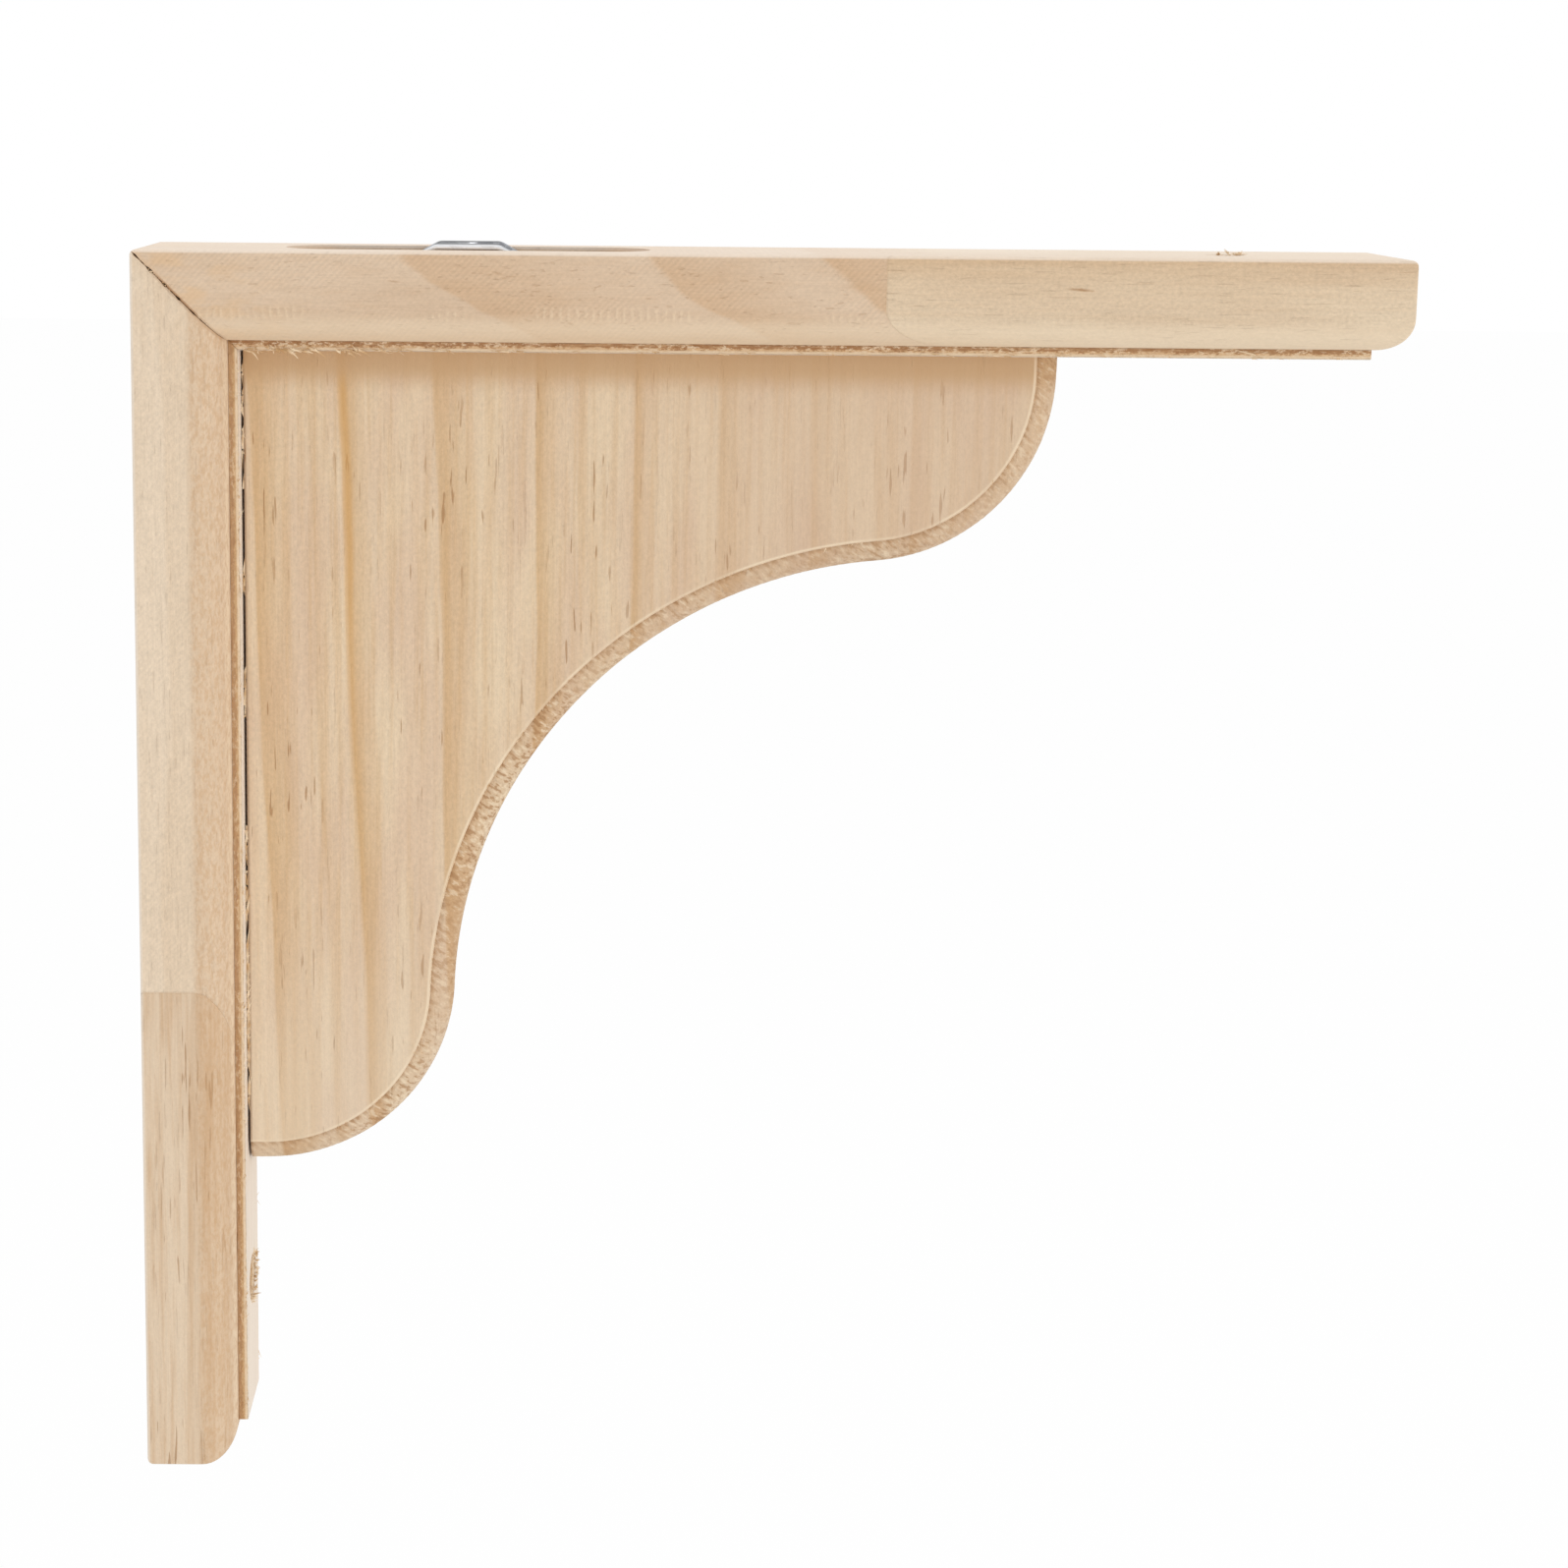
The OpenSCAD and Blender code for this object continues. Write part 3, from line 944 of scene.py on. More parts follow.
@dataclass(frozen=True)
class FibreFinish(Finish):
    """Loose fibres lifted by the cutter."""

    pale: Colour = srgb(238, 216, 184)
    brown: Colour = srgb(205, 168, 122)
    tone: Pattern = Pattern((2.2, 2.2, 2.2), 1.0, 5.0, low=0.35, high=0.65)
    ribs: Pattern = Pattern((0.2, 0.2, 0.6), 2.0, 6.0)
    relief: float = 0.00002
    roughness: float = 0.75
    specular: float = 0.25

    def build(self, name: str) -> bpy.types.Material:
        """Makes the material.

        Args:
            name: the material's name.

        Returns:
            The material.
        """
        material, g, shader = self.start(name)
        spot = g.vector("SCALE", g.object_place(), scale=1 / MM)
        g.put(shader.inputs["Base Color"], g.blend(g.patch(spot, self.tone), self.pale, self.brown))
        shader.inputs["Roughness"].default_value = self.roughness
        shader.inputs["Specular IOR Level"].default_value = self.specular
        self.bump(g, shader, g.noise(spot, self.ribs), self.relief)
        return material


@dataclass(frozen=True)
class ZincFinish(Finish):
    """Zinc plate: faint spangle, fine rolling lines, a dulled surface, painted shade on the bridge's flat top
    and a painted highlight along the long sides.
    """

    bright: Colour = srgb(196, 198, 202)
    dull: Colour = srgb(158, 161, 167)
    spangle_scale: float = 0.45
    cloud: Pattern = Pattern((5.0, 2.5, 2.5), 3.0, 2.0)
    lines: Pattern = Pattern((8.0, 0.12, 0.12), 2.0, 8.0)
    # Painted shade: the bridge's flat top is drawn in this dark grey.
    shaded_top_colour: Colour = srgb(116, 117, 118)
    shaded_top_edge: Range = (100.78, 100.86)
    # Painted highlight: the plate's long side edges are drawn in this near white.
    side_highlight_colour: Colour = srgb(232, 233, 235)
    highlight_side: Range = (6.36, 6.44)
    tint_share: float = 0.8
    edge_tint: float = 0.55
    roughness: Range = (0.28, 0.5)
    relief: float = 0.00002

    def build(self, name: str) -> bpy.types.Material:
        """Makes the material.

        Args:
            name: the material's name.

        Returns:
            The material.
        """
        material, g, shader = self.start(name)
        spot = g.vector("SCALE", g.object_place(), scale=1 / MM)
        cells = g.node("ShaderNodeTexVoronoi", {"Vector": spot, "Scale": self.spangle_scale})
        spangle = g.node("ShaderNodeSeparateColor", {0: cells.outputs["Color"]}).outputs[0]
        cloud = g.noise(spot, self.cloud)
        lines = g.noise(spot, self.lines)
        tone = g.total((0.45, spangle), (0.9, cloud), (0.3, lines))
        _, side, up = g.split(spot)
        colour = g.blend(g.span(tone, 0.5, 1.1), self.bright, self.dull)
        # Painted shade on the bridge's flat top.
        colour = g.blend(g.times(g.span(up, *self.shaded_top_edge), self.tint_share), colour, self.shaded_top_colour)
        # Painted highlight along the long side edges.
        edge = g.times(g.span(g.math("ABSOLUTE", side), *self.highlight_side), self.tint_share)
        g.put(shader.inputs["Base Color"], g.blend(edge, colour, self.side_highlight_colour))
        g.put(shader.inputs["Roughness"], g.span(tone, 0.45, 1.15, *self.roughness))
        shader.inputs["Metallic"].default_value = 1.0
        shader.inputs["Specular Tint"].default_value = (self.edge_tint,) * 3 + (1.0,)
        self.bump(g, shader, g.total((0.4, lines), (0.6, cloud)), self.relief)
        return material


@dataclass(frozen=True)
class PlainStageFinish(Finish):
    """Matt white of the floor, which the camera sees as plain white that still darkens a little in shadow."""

    seen_white: float = 0.97
    albedo: Colour = srgb(238, 238, 238)
    roughness: float = 0.9

    def build(self, name: str) -> bpy.types.Material:
        """Makes the material.

        Args:
            name: the material's name.

        Returns:
            The material.
        """
        material, g, shader = self.start(name)
        shader.inputs["Base Color"].default_value = (*self.albedo, 1.0)
        shader.inputs["Roughness"].default_value = self.roughness
        white = g.node("ShaderNodeEmission", {"Color": (1.0, 1.0, 1.0, 1.0), "Strength": 1.0})
        share = g.times(seen_rays(g), self.seen_white)
        mix = g.node("ShaderNodeMixShader", {0: share, 1: shader.outputs[0], 2: white.outputs[0]})
        g.put(material.node_tree.nodes["Material Output"].inputs["Surface"], mix.outputs[0])
        return material


def seen_rays(g: Graph) -> Socket:
    """1 for rays of the camera, of gloss and through glass."""
    path = g.node("ShaderNodeLightPath").outputs
    seen = g.math("MAXIMUM", path["Is Camera Ray"], path["Is Glossy Ray"])
    return g.math("MAXIMUM", seen, path["Is Transmission Ray"])


def add_object(name: str, data: bpy.types.ID) -> bpy.types.Object:
    """Makes an object at the origin and links it to the scene."""
    made = bpy.data.objects.new(name, data)
    bpy.context.scene.collection.objects.link(made)
    return made


def mesh_object(name: str, points: np.ndarray, faces: Sequence[Sequence[int]]) -> bpy.types.Object:
    """A mesh object at the origin.

    Args:
        name: the object's name.
        points: places in millimetres, one row each.
        faces: loops of point numbers.

    Returns:
        The linked object.
    """
    mesh = bpy.data.meshes.new(name)
    mesh.from_pydata((np.asarray(points, float) * MM).tolist(), [], [list(face) for face in faces])
    mesh.validate()
    return add_object(name, mesh)


def tidy_mesh(obj: bpy.types.Object, merge_mm: float = 0.002, smooth: bool = True) -> None:
    """Merges doubles, turns the faces outwards and smooths all but the sharp edges.

    Args:
        obj: the mesh object.
        merge_mm: distance under which points are merged.
        smooth: smooth shading rather than flat.
    """
    work = bmesh.new()
    work.from_mesh(obj.data)
    bmesh.ops.remove_doubles(work, verts=work.verts, dist=merge_mm * MM)
    bmesh.ops.dissolve_degenerate(work, edges=work.edges, dist=merge_mm * MM * 0.5)
    bmesh.ops.recalc_face_normals(work, faces=work.faces)
    work.to_mesh(obj.data)
    work.free()
    if smooth:
        obj.data.shade_smooth()
        obj.data.set_sharp_from_angle(angle=SHARP_ANGLE)
    obj.data.update()


def bake_modifiers(obj: bpy.types.Object) -> bpy.types.Object:
    """Replaces an object by the plain mesh that its modifiers make.

    Args:
        obj: an object with live modifiers.

    Returns:
        A new object with the same name and no modifier.
    """
    graph = bpy.context.evaluated_depsgraph_get()
    mesh = bpy.data.meshes.new_from_object(obj.evaluated_get(graph), depsgraph=graph)
    name = obj.name
    drop(obj)
    return add_object(name, mesh)


def drop(*objs: bpy.types.Object) -> None:
    """Removes helper objects."""
    for obj in objs:
        bpy.data.objects.remove(obj, do_unlink=True)


def subtract(obj: bpy.types.Object, cutters: Sequence[bpy.types.Object]) -> bpy.types.Object:
    """Cuts closed shapes out of a closed mesh.

    Args:
        obj: the mesh to cut.
        cutters: the shapes to take away, which are removed afterwards.

    Returns:
        The cut object.
    """
    for cutter in cutters:
        modifier = obj.modifiers.new("cut", "BOOLEAN")
        modifier.operation = "DIFFERENCE"
        modifier.solver = "EXACT"
        modifier.object = cutter
    made = bake_modifiers(obj)
    drop(*cutters)
    return made


def dress(obj: bpy.types.Object, material: bpy.types.Material) -> None:
    """Gives a piece its only material and its slot, and ties it to the body.

    Args:
        obj: the piece.
        material: its material.
    """
    obj.data.materials.clear()
    obj.data.materials.append(material)
    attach(obj, BODY)


def report(obj: bpy.types.Object) -> None:
    """Logs a piece and its size."""
    count = sum(len(face.vertices) - 2 for face in obj.data.polygons)
    LOG.info("%s: %d triangles", obj.name, count)


def quarter_turn(steps: int) -> list[float]:
    """Angles from 0 to a right angle in even steps."""
    return [math.radians(90 * step / steps) for step in range(steps + 1)]


def lathe(name: str, profile: Sequence[Range], centre: Point, axis: str = "Z", sides: int = 48,
          jitter: float = 0.0, seed: int = 0) -> bpy.types.Object:
    """A closed turned shape, which may have a ragged rim.

    Args:
        name: the object's name.
        profile: (radius, height) pairs from end to end in millimetres.
        centre: where height 0 of the axis is.
        axis: X, or Z for an upright axis.
        sides: number of facets round it.
        jitter: share by which the radius varies at random round the rim.
        seed: picks the random rim.

    Returns:
        The mesh object.
    """
    ragged = 1 + jitter * np.random.default_rng(seed).uniform(*RAGGED_RIM, sides)
    points: list[Point] = []
    for radius, height in profile:
        for side in range(sides):
            angle, reach = math.tau * side / sides, radius * ragged[side]
            flat = (reach * math.cos(angle), reach * math.sin(angle), height)
            points.append(flat if axis == "Z" else (flat[2], flat[0], flat[1]))
    faces = [[row * sides + side, row * sides + (side + 1) % sides,
              (row + 1) * sides + (side + 1) % sides, (row + 1) * sides + side]
             for row in range(len(profile) - 1) for side in range(sides)]
    faces.append(list(range(sides))[::-1])
    faces.append([(len(profile) - 1) * sides + side for side in range(sides)])
    made = mesh_object(name, np.array(points) + np.array(centre), faces)
    tidy_mesh(made, smooth=False)
    return made


def slot_shape(name: str, length: float, width: float, low: float, high: float, centre_x: float,
               steps: int = 20) -> bpy.types.Object:
    """A round-ended upright slot along X.

    Args:
        name: the object's name.
        length: overall length.
        width: width, and the diameter of its ends.
        low: bottom height.
        high: top height.
        centre_x: middle of the slot.
        steps: facets round each end.

    Returns:
        The mesh object.
    """
    outline = []
    for side, start in ((1, -90), (-1, 90)):
        for step in range(steps + 1):
            angle = math.radians(start + 180 * step / steps)
            x = centre_x + side * (length - width) / 2 + width / 2 * math.cos(angle)
            outline.append((x, width / 2 * math.sin(angle)))
    count = len(outline)
    points = [(x, y, low) for x, y in outline] + [(x, y, high) for x, y in outline]
    faces = [[i, (i + 1) % count, count + (i + 1) % count, count + i] for i in range(count)]
    faces += [list(range(count))[::-1], list(range(count, 2 * count))]
    made = mesh_object(name, np.array(points), faces)
    tidy_mesh(made, smooth=False)
    return made


@dataclass
class RoutedArm:
    """One arm: a length of pine with two routed quarter rounds, mitred at one end."""

    place: Place
    finish: ArmFinish
    length: float = 200.0
    width: float = 27.0
    thickness: float = 16.0
    round_r: float = 6.0
    end_r: float = 5.0
    step: float = 1.6
    corner_r: float = 1.0
    ease: float = 0.45
    inner_ease: float = 0.22
    rim_ease: float = 0.28
    mitre_gap: float = 0.5
    mitre_gap_depth: float = 12.5
    mitre_fall: float = 0.35
    pitch: float = 0.5
    face_pitch: float = 0.42
    wall_shares: tuple[float, ...] = (0.12, 0.35, 0.6, 0.82, 1.0)
    rim_shares: tuple[float, ...] = (0.0, 0.07, 0.3, 0.62, 1.0)
    tear_waves: tuple[Range, ...] = ((9.0, 0.05), (3.1, 0.05), (1.4, 0.045), (0.9, 0.03))
    torn_out: float = 0.02
    seed: int = 4
    top_z: float = 100.0
    hole_inset: float = 27.0
    hole_d: float = 5.0
    sink_d: float = 8.0
    hole_jitter: float = 0.035
    recess: Rise = (52.0, 58.0, 14.0, 1.8)
    pocket: Band = (16.0, 10.0, 5.0)

    @property
    def node(self) -> str:
        """CAD node that the piece stands for."""
        return self.place.value

    @property
    def inner_half(self) -> float:
        """Half the width of the raised inner face."""
        return self.width / 2 - self.round_r

    def side_profile(self) -> list[Range]:
        """Half of the section, from the outer face's edge to the inner face's edge.

        Returns:
            (depth, half width) pairs.
        """
        half, inner = self.width / 2, self.inner_half
        start = self.thickness - self.step - self.round_r
        wall_start, wall_end = start + self.round_r, self.thickness - self.inner_ease
        pairs = [(self.ease * (1 - math.cos(angle)), half - self.ease * (1 - math.sin(angle)))
                 for angle in quarter_turn(5)]
        pairs += [(depth, half) for depth in np.arange(0.75, start - 0.2, self.face_pitch)]
        pairs += [(start + self.round_r * math.sin(angle), inner + self.round_r * math.cos(angle))
                  for angle in quarter_turn(14)]
        pairs += [(wall_start + (wall_end - wall_start) * share, inner) for share in self.wall_shares]
        ease = self.inner_ease
        return pairs + [(wall_end + ease * math.sin(angle), inner - ease * (1 - math.cos(angle)))
                        for angle in quarter_turn(3)[1:]]

    def corner_fall(self, depth: float) -> float:
        """How far the rounded outer corner falls back at a depth."""
        return self.corner_r - math.sqrt(self.corner_r**2 - max(0.0, self.corner_r - depth)**2)

    def mitre_end(self, depth: float) -> float:
        """Where the wood starts along the arm: the mitre with its rounded outer corner and its open joint.

        Args:
            depth: depth in millimetres.

        Returns:
            Millimetres along the arm.
        """
        ripple = 0.5 + 0.5 * math.sin(4.3 * depth + 4.0) * math.sin(1.3 * depth + 0.8)
        rise = min(1.0, 0.35 + depth / 3)
        closing = max(0.0, 1 - depth / self.mitre_gap_depth) ** 0.6
        gap = self.mitre_gap * rise * closing * (0.02 + 0.98 * ripple**2.2)
        return max(depth, self.corner_fall(depth)) + gap

    def free_end(self, depth: float) -> float:
        """Where the wood ends along the arm: rounded corner, quarter round, then the set-back inner face.

        Args:
            depth: depth in millimetres.

        Returns:
            Millimetres along the arm.
        """
        start = self.thickness - self.step - self.end_r
        if depth <= start:
            return self.length - self.corner_fall(depth)
        if depth < start + self.end_r:
            return self.length - self.end_r + math.sqrt(self.end_r**2 - (depth - start)**2)
        over = max(0.0, depth - (self.thickness - self.inner_ease))
        return self.length - self.end_r - self.inner_ease + math.sqrt(max(0.0, self.inner_ease**2 - over**2))

    def stations(self) -> np.ndarray:
        """Places of the section along the arm, closer together at both ends.

        Returns:
            Shares of the length.
        """
        count = int(self.length / self.pitch)
        ends = np.array([0.0006, 0.0014, 0.0025, 0.004])
        return np.unique(np.concatenate([[0.0], ends, np.linspace(0.006, 0.994, count), 1 - ends, [1.0]]))

    def columns(self, half: float) -> list[float]:
        """Places across a flat, with its two rims eased.

        Args:
            half: half the flat's width.

        Returns:
            Millimetres from the middle.
        """
        rim = [self.rim_ease * share for share in self.rim_shares]
        inside = np.linspace(-(half - self.rim_ease), half - self.rim_ease, 9)[1:-1]
        return [-(half - off) for off in rim] + inside.tolist() + [half - off for off in reversed(rim)]

    def rim_drop(self, half: float, y: float) -> float:
        """How far the end face falls back near its rim."""
        over = max(0.0, abs(y) - (half - self.rim_ease))
        return self.rim_ease - math.sqrt(max(0.0, self.rim_ease**2 - over**2))

    def tear(self, along: np.ndarray, depth: float, side: int) -> np.ndarray:
        """How far torn wood moves the step and its edge.

        Args:
            along: places along the arm in millimetres.
            depth: depth in millimetres.
            side: -1 on the front and 1 on the back.

        Returns:
            Millimetres outwards at each place.
        """
        total = np.zeros_like(along)
        random = np.random.default_rng(self.seed * 10 + side + 5)
        for wave, size in self.tear_waves:
            turn = random.uniform(0, math.tau)
            total += size * np.sin(math.tau * along / wave + turn + depth * 2.3)
        return total

    def skin(self, side: list[Range]) -> np.ndarray:
        """The long faces, as a loop of section points each run along the arm.

        Args:
            side: half of the section.

        Returns:
            (along, across, depth) places by section point and station.
        """
        loop = [(0.0, y) for y in self.columns(side[0][1])] + side[1:-1]
        loop += [(self.thickness, y) for y in reversed(self.columns(side[-1][1]))]
        loop += [(depth, -y) for depth, y in reversed(side[1:-1])]
        stations = self.stations()
        wall_from = self.thickness - self.step + 0.05
        rows = []
        for depth, y in loop:
            half = {0.0: side[0][1], self.thickness: side[-1][1]}.get(depth, abs(y))
            fall = self.rim_drop(half, y)
            start = self.mitre_end(depth) + fall * self.mitre_fall
            end = self.free_end(depth) - fall
            along = start + (end - start) * stations
            deep = np.full_like(along, depth)
            across = np.full_like(along, y)
            if depth > wall_from and abs(y) > self.inner_half - 0.3:
                fade = np.clip((along - start) / 2, 0, 1) * np.clip((end - along) / 2, 0, 1)
                move = self.tear(along, depth, 1 if y > 0 else -1) * fade
                across += np.minimum(move, self.torn_out) * np.sign(y)
                if depth > self.thickness - self.inner_ease:
                    deep = np.minimum(deep + np.minimum(move, 0) * 0.8, self.thickness)
            rows.append(np.stack([along, across, deep], axis=1))
        return np.stack(rows)

    def end_face(self, side: list[Range], free: bool) -> list[Point]:
        """One end face, row by row across the arm.

        Args:
            side: half of the section.
            free: the free end rather than the mitre.

        Returns:
            (along, across, depth) places.
        """
        face = []
        for depth, half in side:
            for y in self.columns(half):
                fall = self.rim_drop(half, y)
                start = self.mitre_end(depth) + fall * self.mitre_fall
                face.append((self.free_end(depth) - fall if free else start, y, depth))
        return face

    def build_block(self) -> bpy.types.Object:
        """Makes the routed and mitred length of wood without its holes.

        Returns:
            The mesh object, lying in the frame.
        """
        side = self.side_profile()
        skin = self.skin(side)
        count, rows, _ = skin.shape
        faces = [[i * rows + j, i * rows + j + 1, (i + 1) % count * rows + j + 1, (i + 1) % count * rows + j]
                 for i in range(count) for j in range(rows - 1)]
        width = len(self.columns(side[0][1]))
        caps: list[Point] = []
        for free in (False, True):
            base = count * rows + len(caps)
            caps += self.end_face(side, free)
            faces += [[base + r * width + c, base + r * width + c + 1, base + (r + 1) * width + c + 1,
                       base + (r + 1) * width + c] for r in range(len(side) - 1) for c in range(width - 1)]
        local = np.concatenate([skin.reshape(-1, 3), np.array(caps)])
        made = mesh_object(f"{self.node}_timber", self.to_frame(local), faces)
        tidy_mesh(made, merge_mm=0.004)
        return made

    def to_frame(self, local: np.ndarray) -> np.ndarray:
        """Takes places on the arm to the bracket's axes.

        Args:
            local: (along, across, depth) rows.

        Returns:
            (x, y, z) rows.
        """
        along, across, depth = local.T
        if self.place is Place.SHELF:
            return np.stack([along, across, self.top_z - depth], axis=1)
        return np.stack([depth, across, self.top_z - along], axis=1)

    def hole_cutter(self) -> bpy.types.Object:
        """Shape of the screw hole: the bore, its countersink and the torn rims at both faces.

        Returns:
            The mesh object.
        """
        axis, turn = ("Z", -1) if self.place is Place.SHELF else ("X", 1)
        centre = tuple(self.to_frame(np.array([[self.length - self.hole_inset, 0.0, 0.0]]))[0])
        bore, sink, out = self.hole_d / 2, self.sink_d / 2, self.thickness
        profile = [(bore * 1.3, -1.0), (bore * 1.26, 0.0), (bore * 1.03, 0.5), (bore, 0.8),
                   (bore, out - (sink - bore)), (sink, out), (sink * 1.05, out + 1.0)]
        shape = [(radius, turn * height) for radius, height in profile]
        return lathe("bore", shape, centre, axis, 56, self.hole_jitter, self.seed)

    def recess_cutters(self) -> list[bpy.types.Object]:
        """Shapes of the hanger recess and of the screw head pocket under it.

        Returns:
            The mesh objects.
        """
        centre, length, width, depth = self.recess
        pocket_l, pocket_w, pocket_d = self.pocket
        floor = self.top_z - depth
        return [slot_shape("recess", length, width, floor, self.top_z + 1, centre, 32),
                slot_shape("pocket", pocket_l, pocket_w, floor - pocket_d, floor + 0.5, centre, 28)]

    def build(self) -> None:
        """Makes the arm with its holes and dresses it."""
        block = self.build_block()
        cutters = [self.hole_cutter()]
        if self.place is Place.SHELF:
            cutters += self.recess_cutters()
        made = subtract(block, cutters)
        tidy_mesh(made, merge_mm=0.001)
        dress(made, self.finish.build(f"{self.node}_pine"))
        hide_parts(self.node)
        report(made)


class GeometryRule:
    """A geometry node tree with named inputs, run as a modifier."""

    SOCKETS = {"int": "NodeSocketInt", "float": "NodeSocketFloat", "vector": "NodeSocketVector",
               "object": "NodeSocketObject", "material": "NodeSocketMaterial"}

    def __init__(self, name: str, inputs: dict[str, str]) -> None:
        """Starts a tree.

        Args:
            name: the tree's name.
            inputs: the kind of each input by its name.
        """
        self.tree = bpy.data.node_groups.new(name, "GeometryNodeTree")
        face = self.tree.interface
        face.new_socket("Geometry", in_out="INPUT", socket_type="NodeSocketGeometry")
        self.ids = {}
        for label, kind in inputs.items():
            socket = face.new_socket(label, in_out="INPUT", socket_type=self.SOCKETS[kind])
            self.ids[label] = socket.identifier
        face.new_socket("Geometry", in_out="OUTPUT", socket_type="NodeSocketGeometry")
        self.g = Graph(self.tree)
        self.inputs = self.g.node("NodeGroupInput").outputs

    def end(self, geometry: Socket) -> None:
        """Closes the tree with Realize Instances and Set Material.

        Args:
            geometry: what the tree has made.
        """
        real = self.g.node("GeometryNodeRealizeInstances", {0: geometry})
        painted = self.g.node("GeometryNodeSetMaterial",
                              {"Geometry": real.outputs[0], "Material": self.inputs["Finish"]})
        self.g.node("NodeGroupOutput", {0: painted.outputs[0]})

    def run(self, host: bpy.types.Object, values: dict[str, object]) -> bpy.types.Object:
        """Runs the tree on a host object.

        Args:
            host: the object whose geometry goes in, which is used up.
            values: input values by name.

        Returns:
            The plain mesh object with the host's name.
        """
        modifier = host.modifiers.new("rule", "NODES")
        modifier.node_group = self.tree
        for label, value in values.items():
            modifier[self.ids[label]] = value
        return bake_modifiers(host)


def poly_curve(name: str, points: Sequence[Point], closed: bool = False) -> bpy.types.Object:
    """A curve object of straight pieces.

    Args:
        name: the object's name.
        points: places in millimetres.
        closed: joined end to end.

    Returns:
        The curve object.
    """
    data = bpy.data.curves.new(name, "CURVE")
    data.dimensions = "3D"
    spline = data.splines.new("POLY")
    spline.points.add(len(points) - 1)
    for spot, place in zip(spline.points, points):
        spot.co = (*(part * MM for part in place), 1.0)
    spline.use_cyclic_u = closed
    return add_object(name, data)


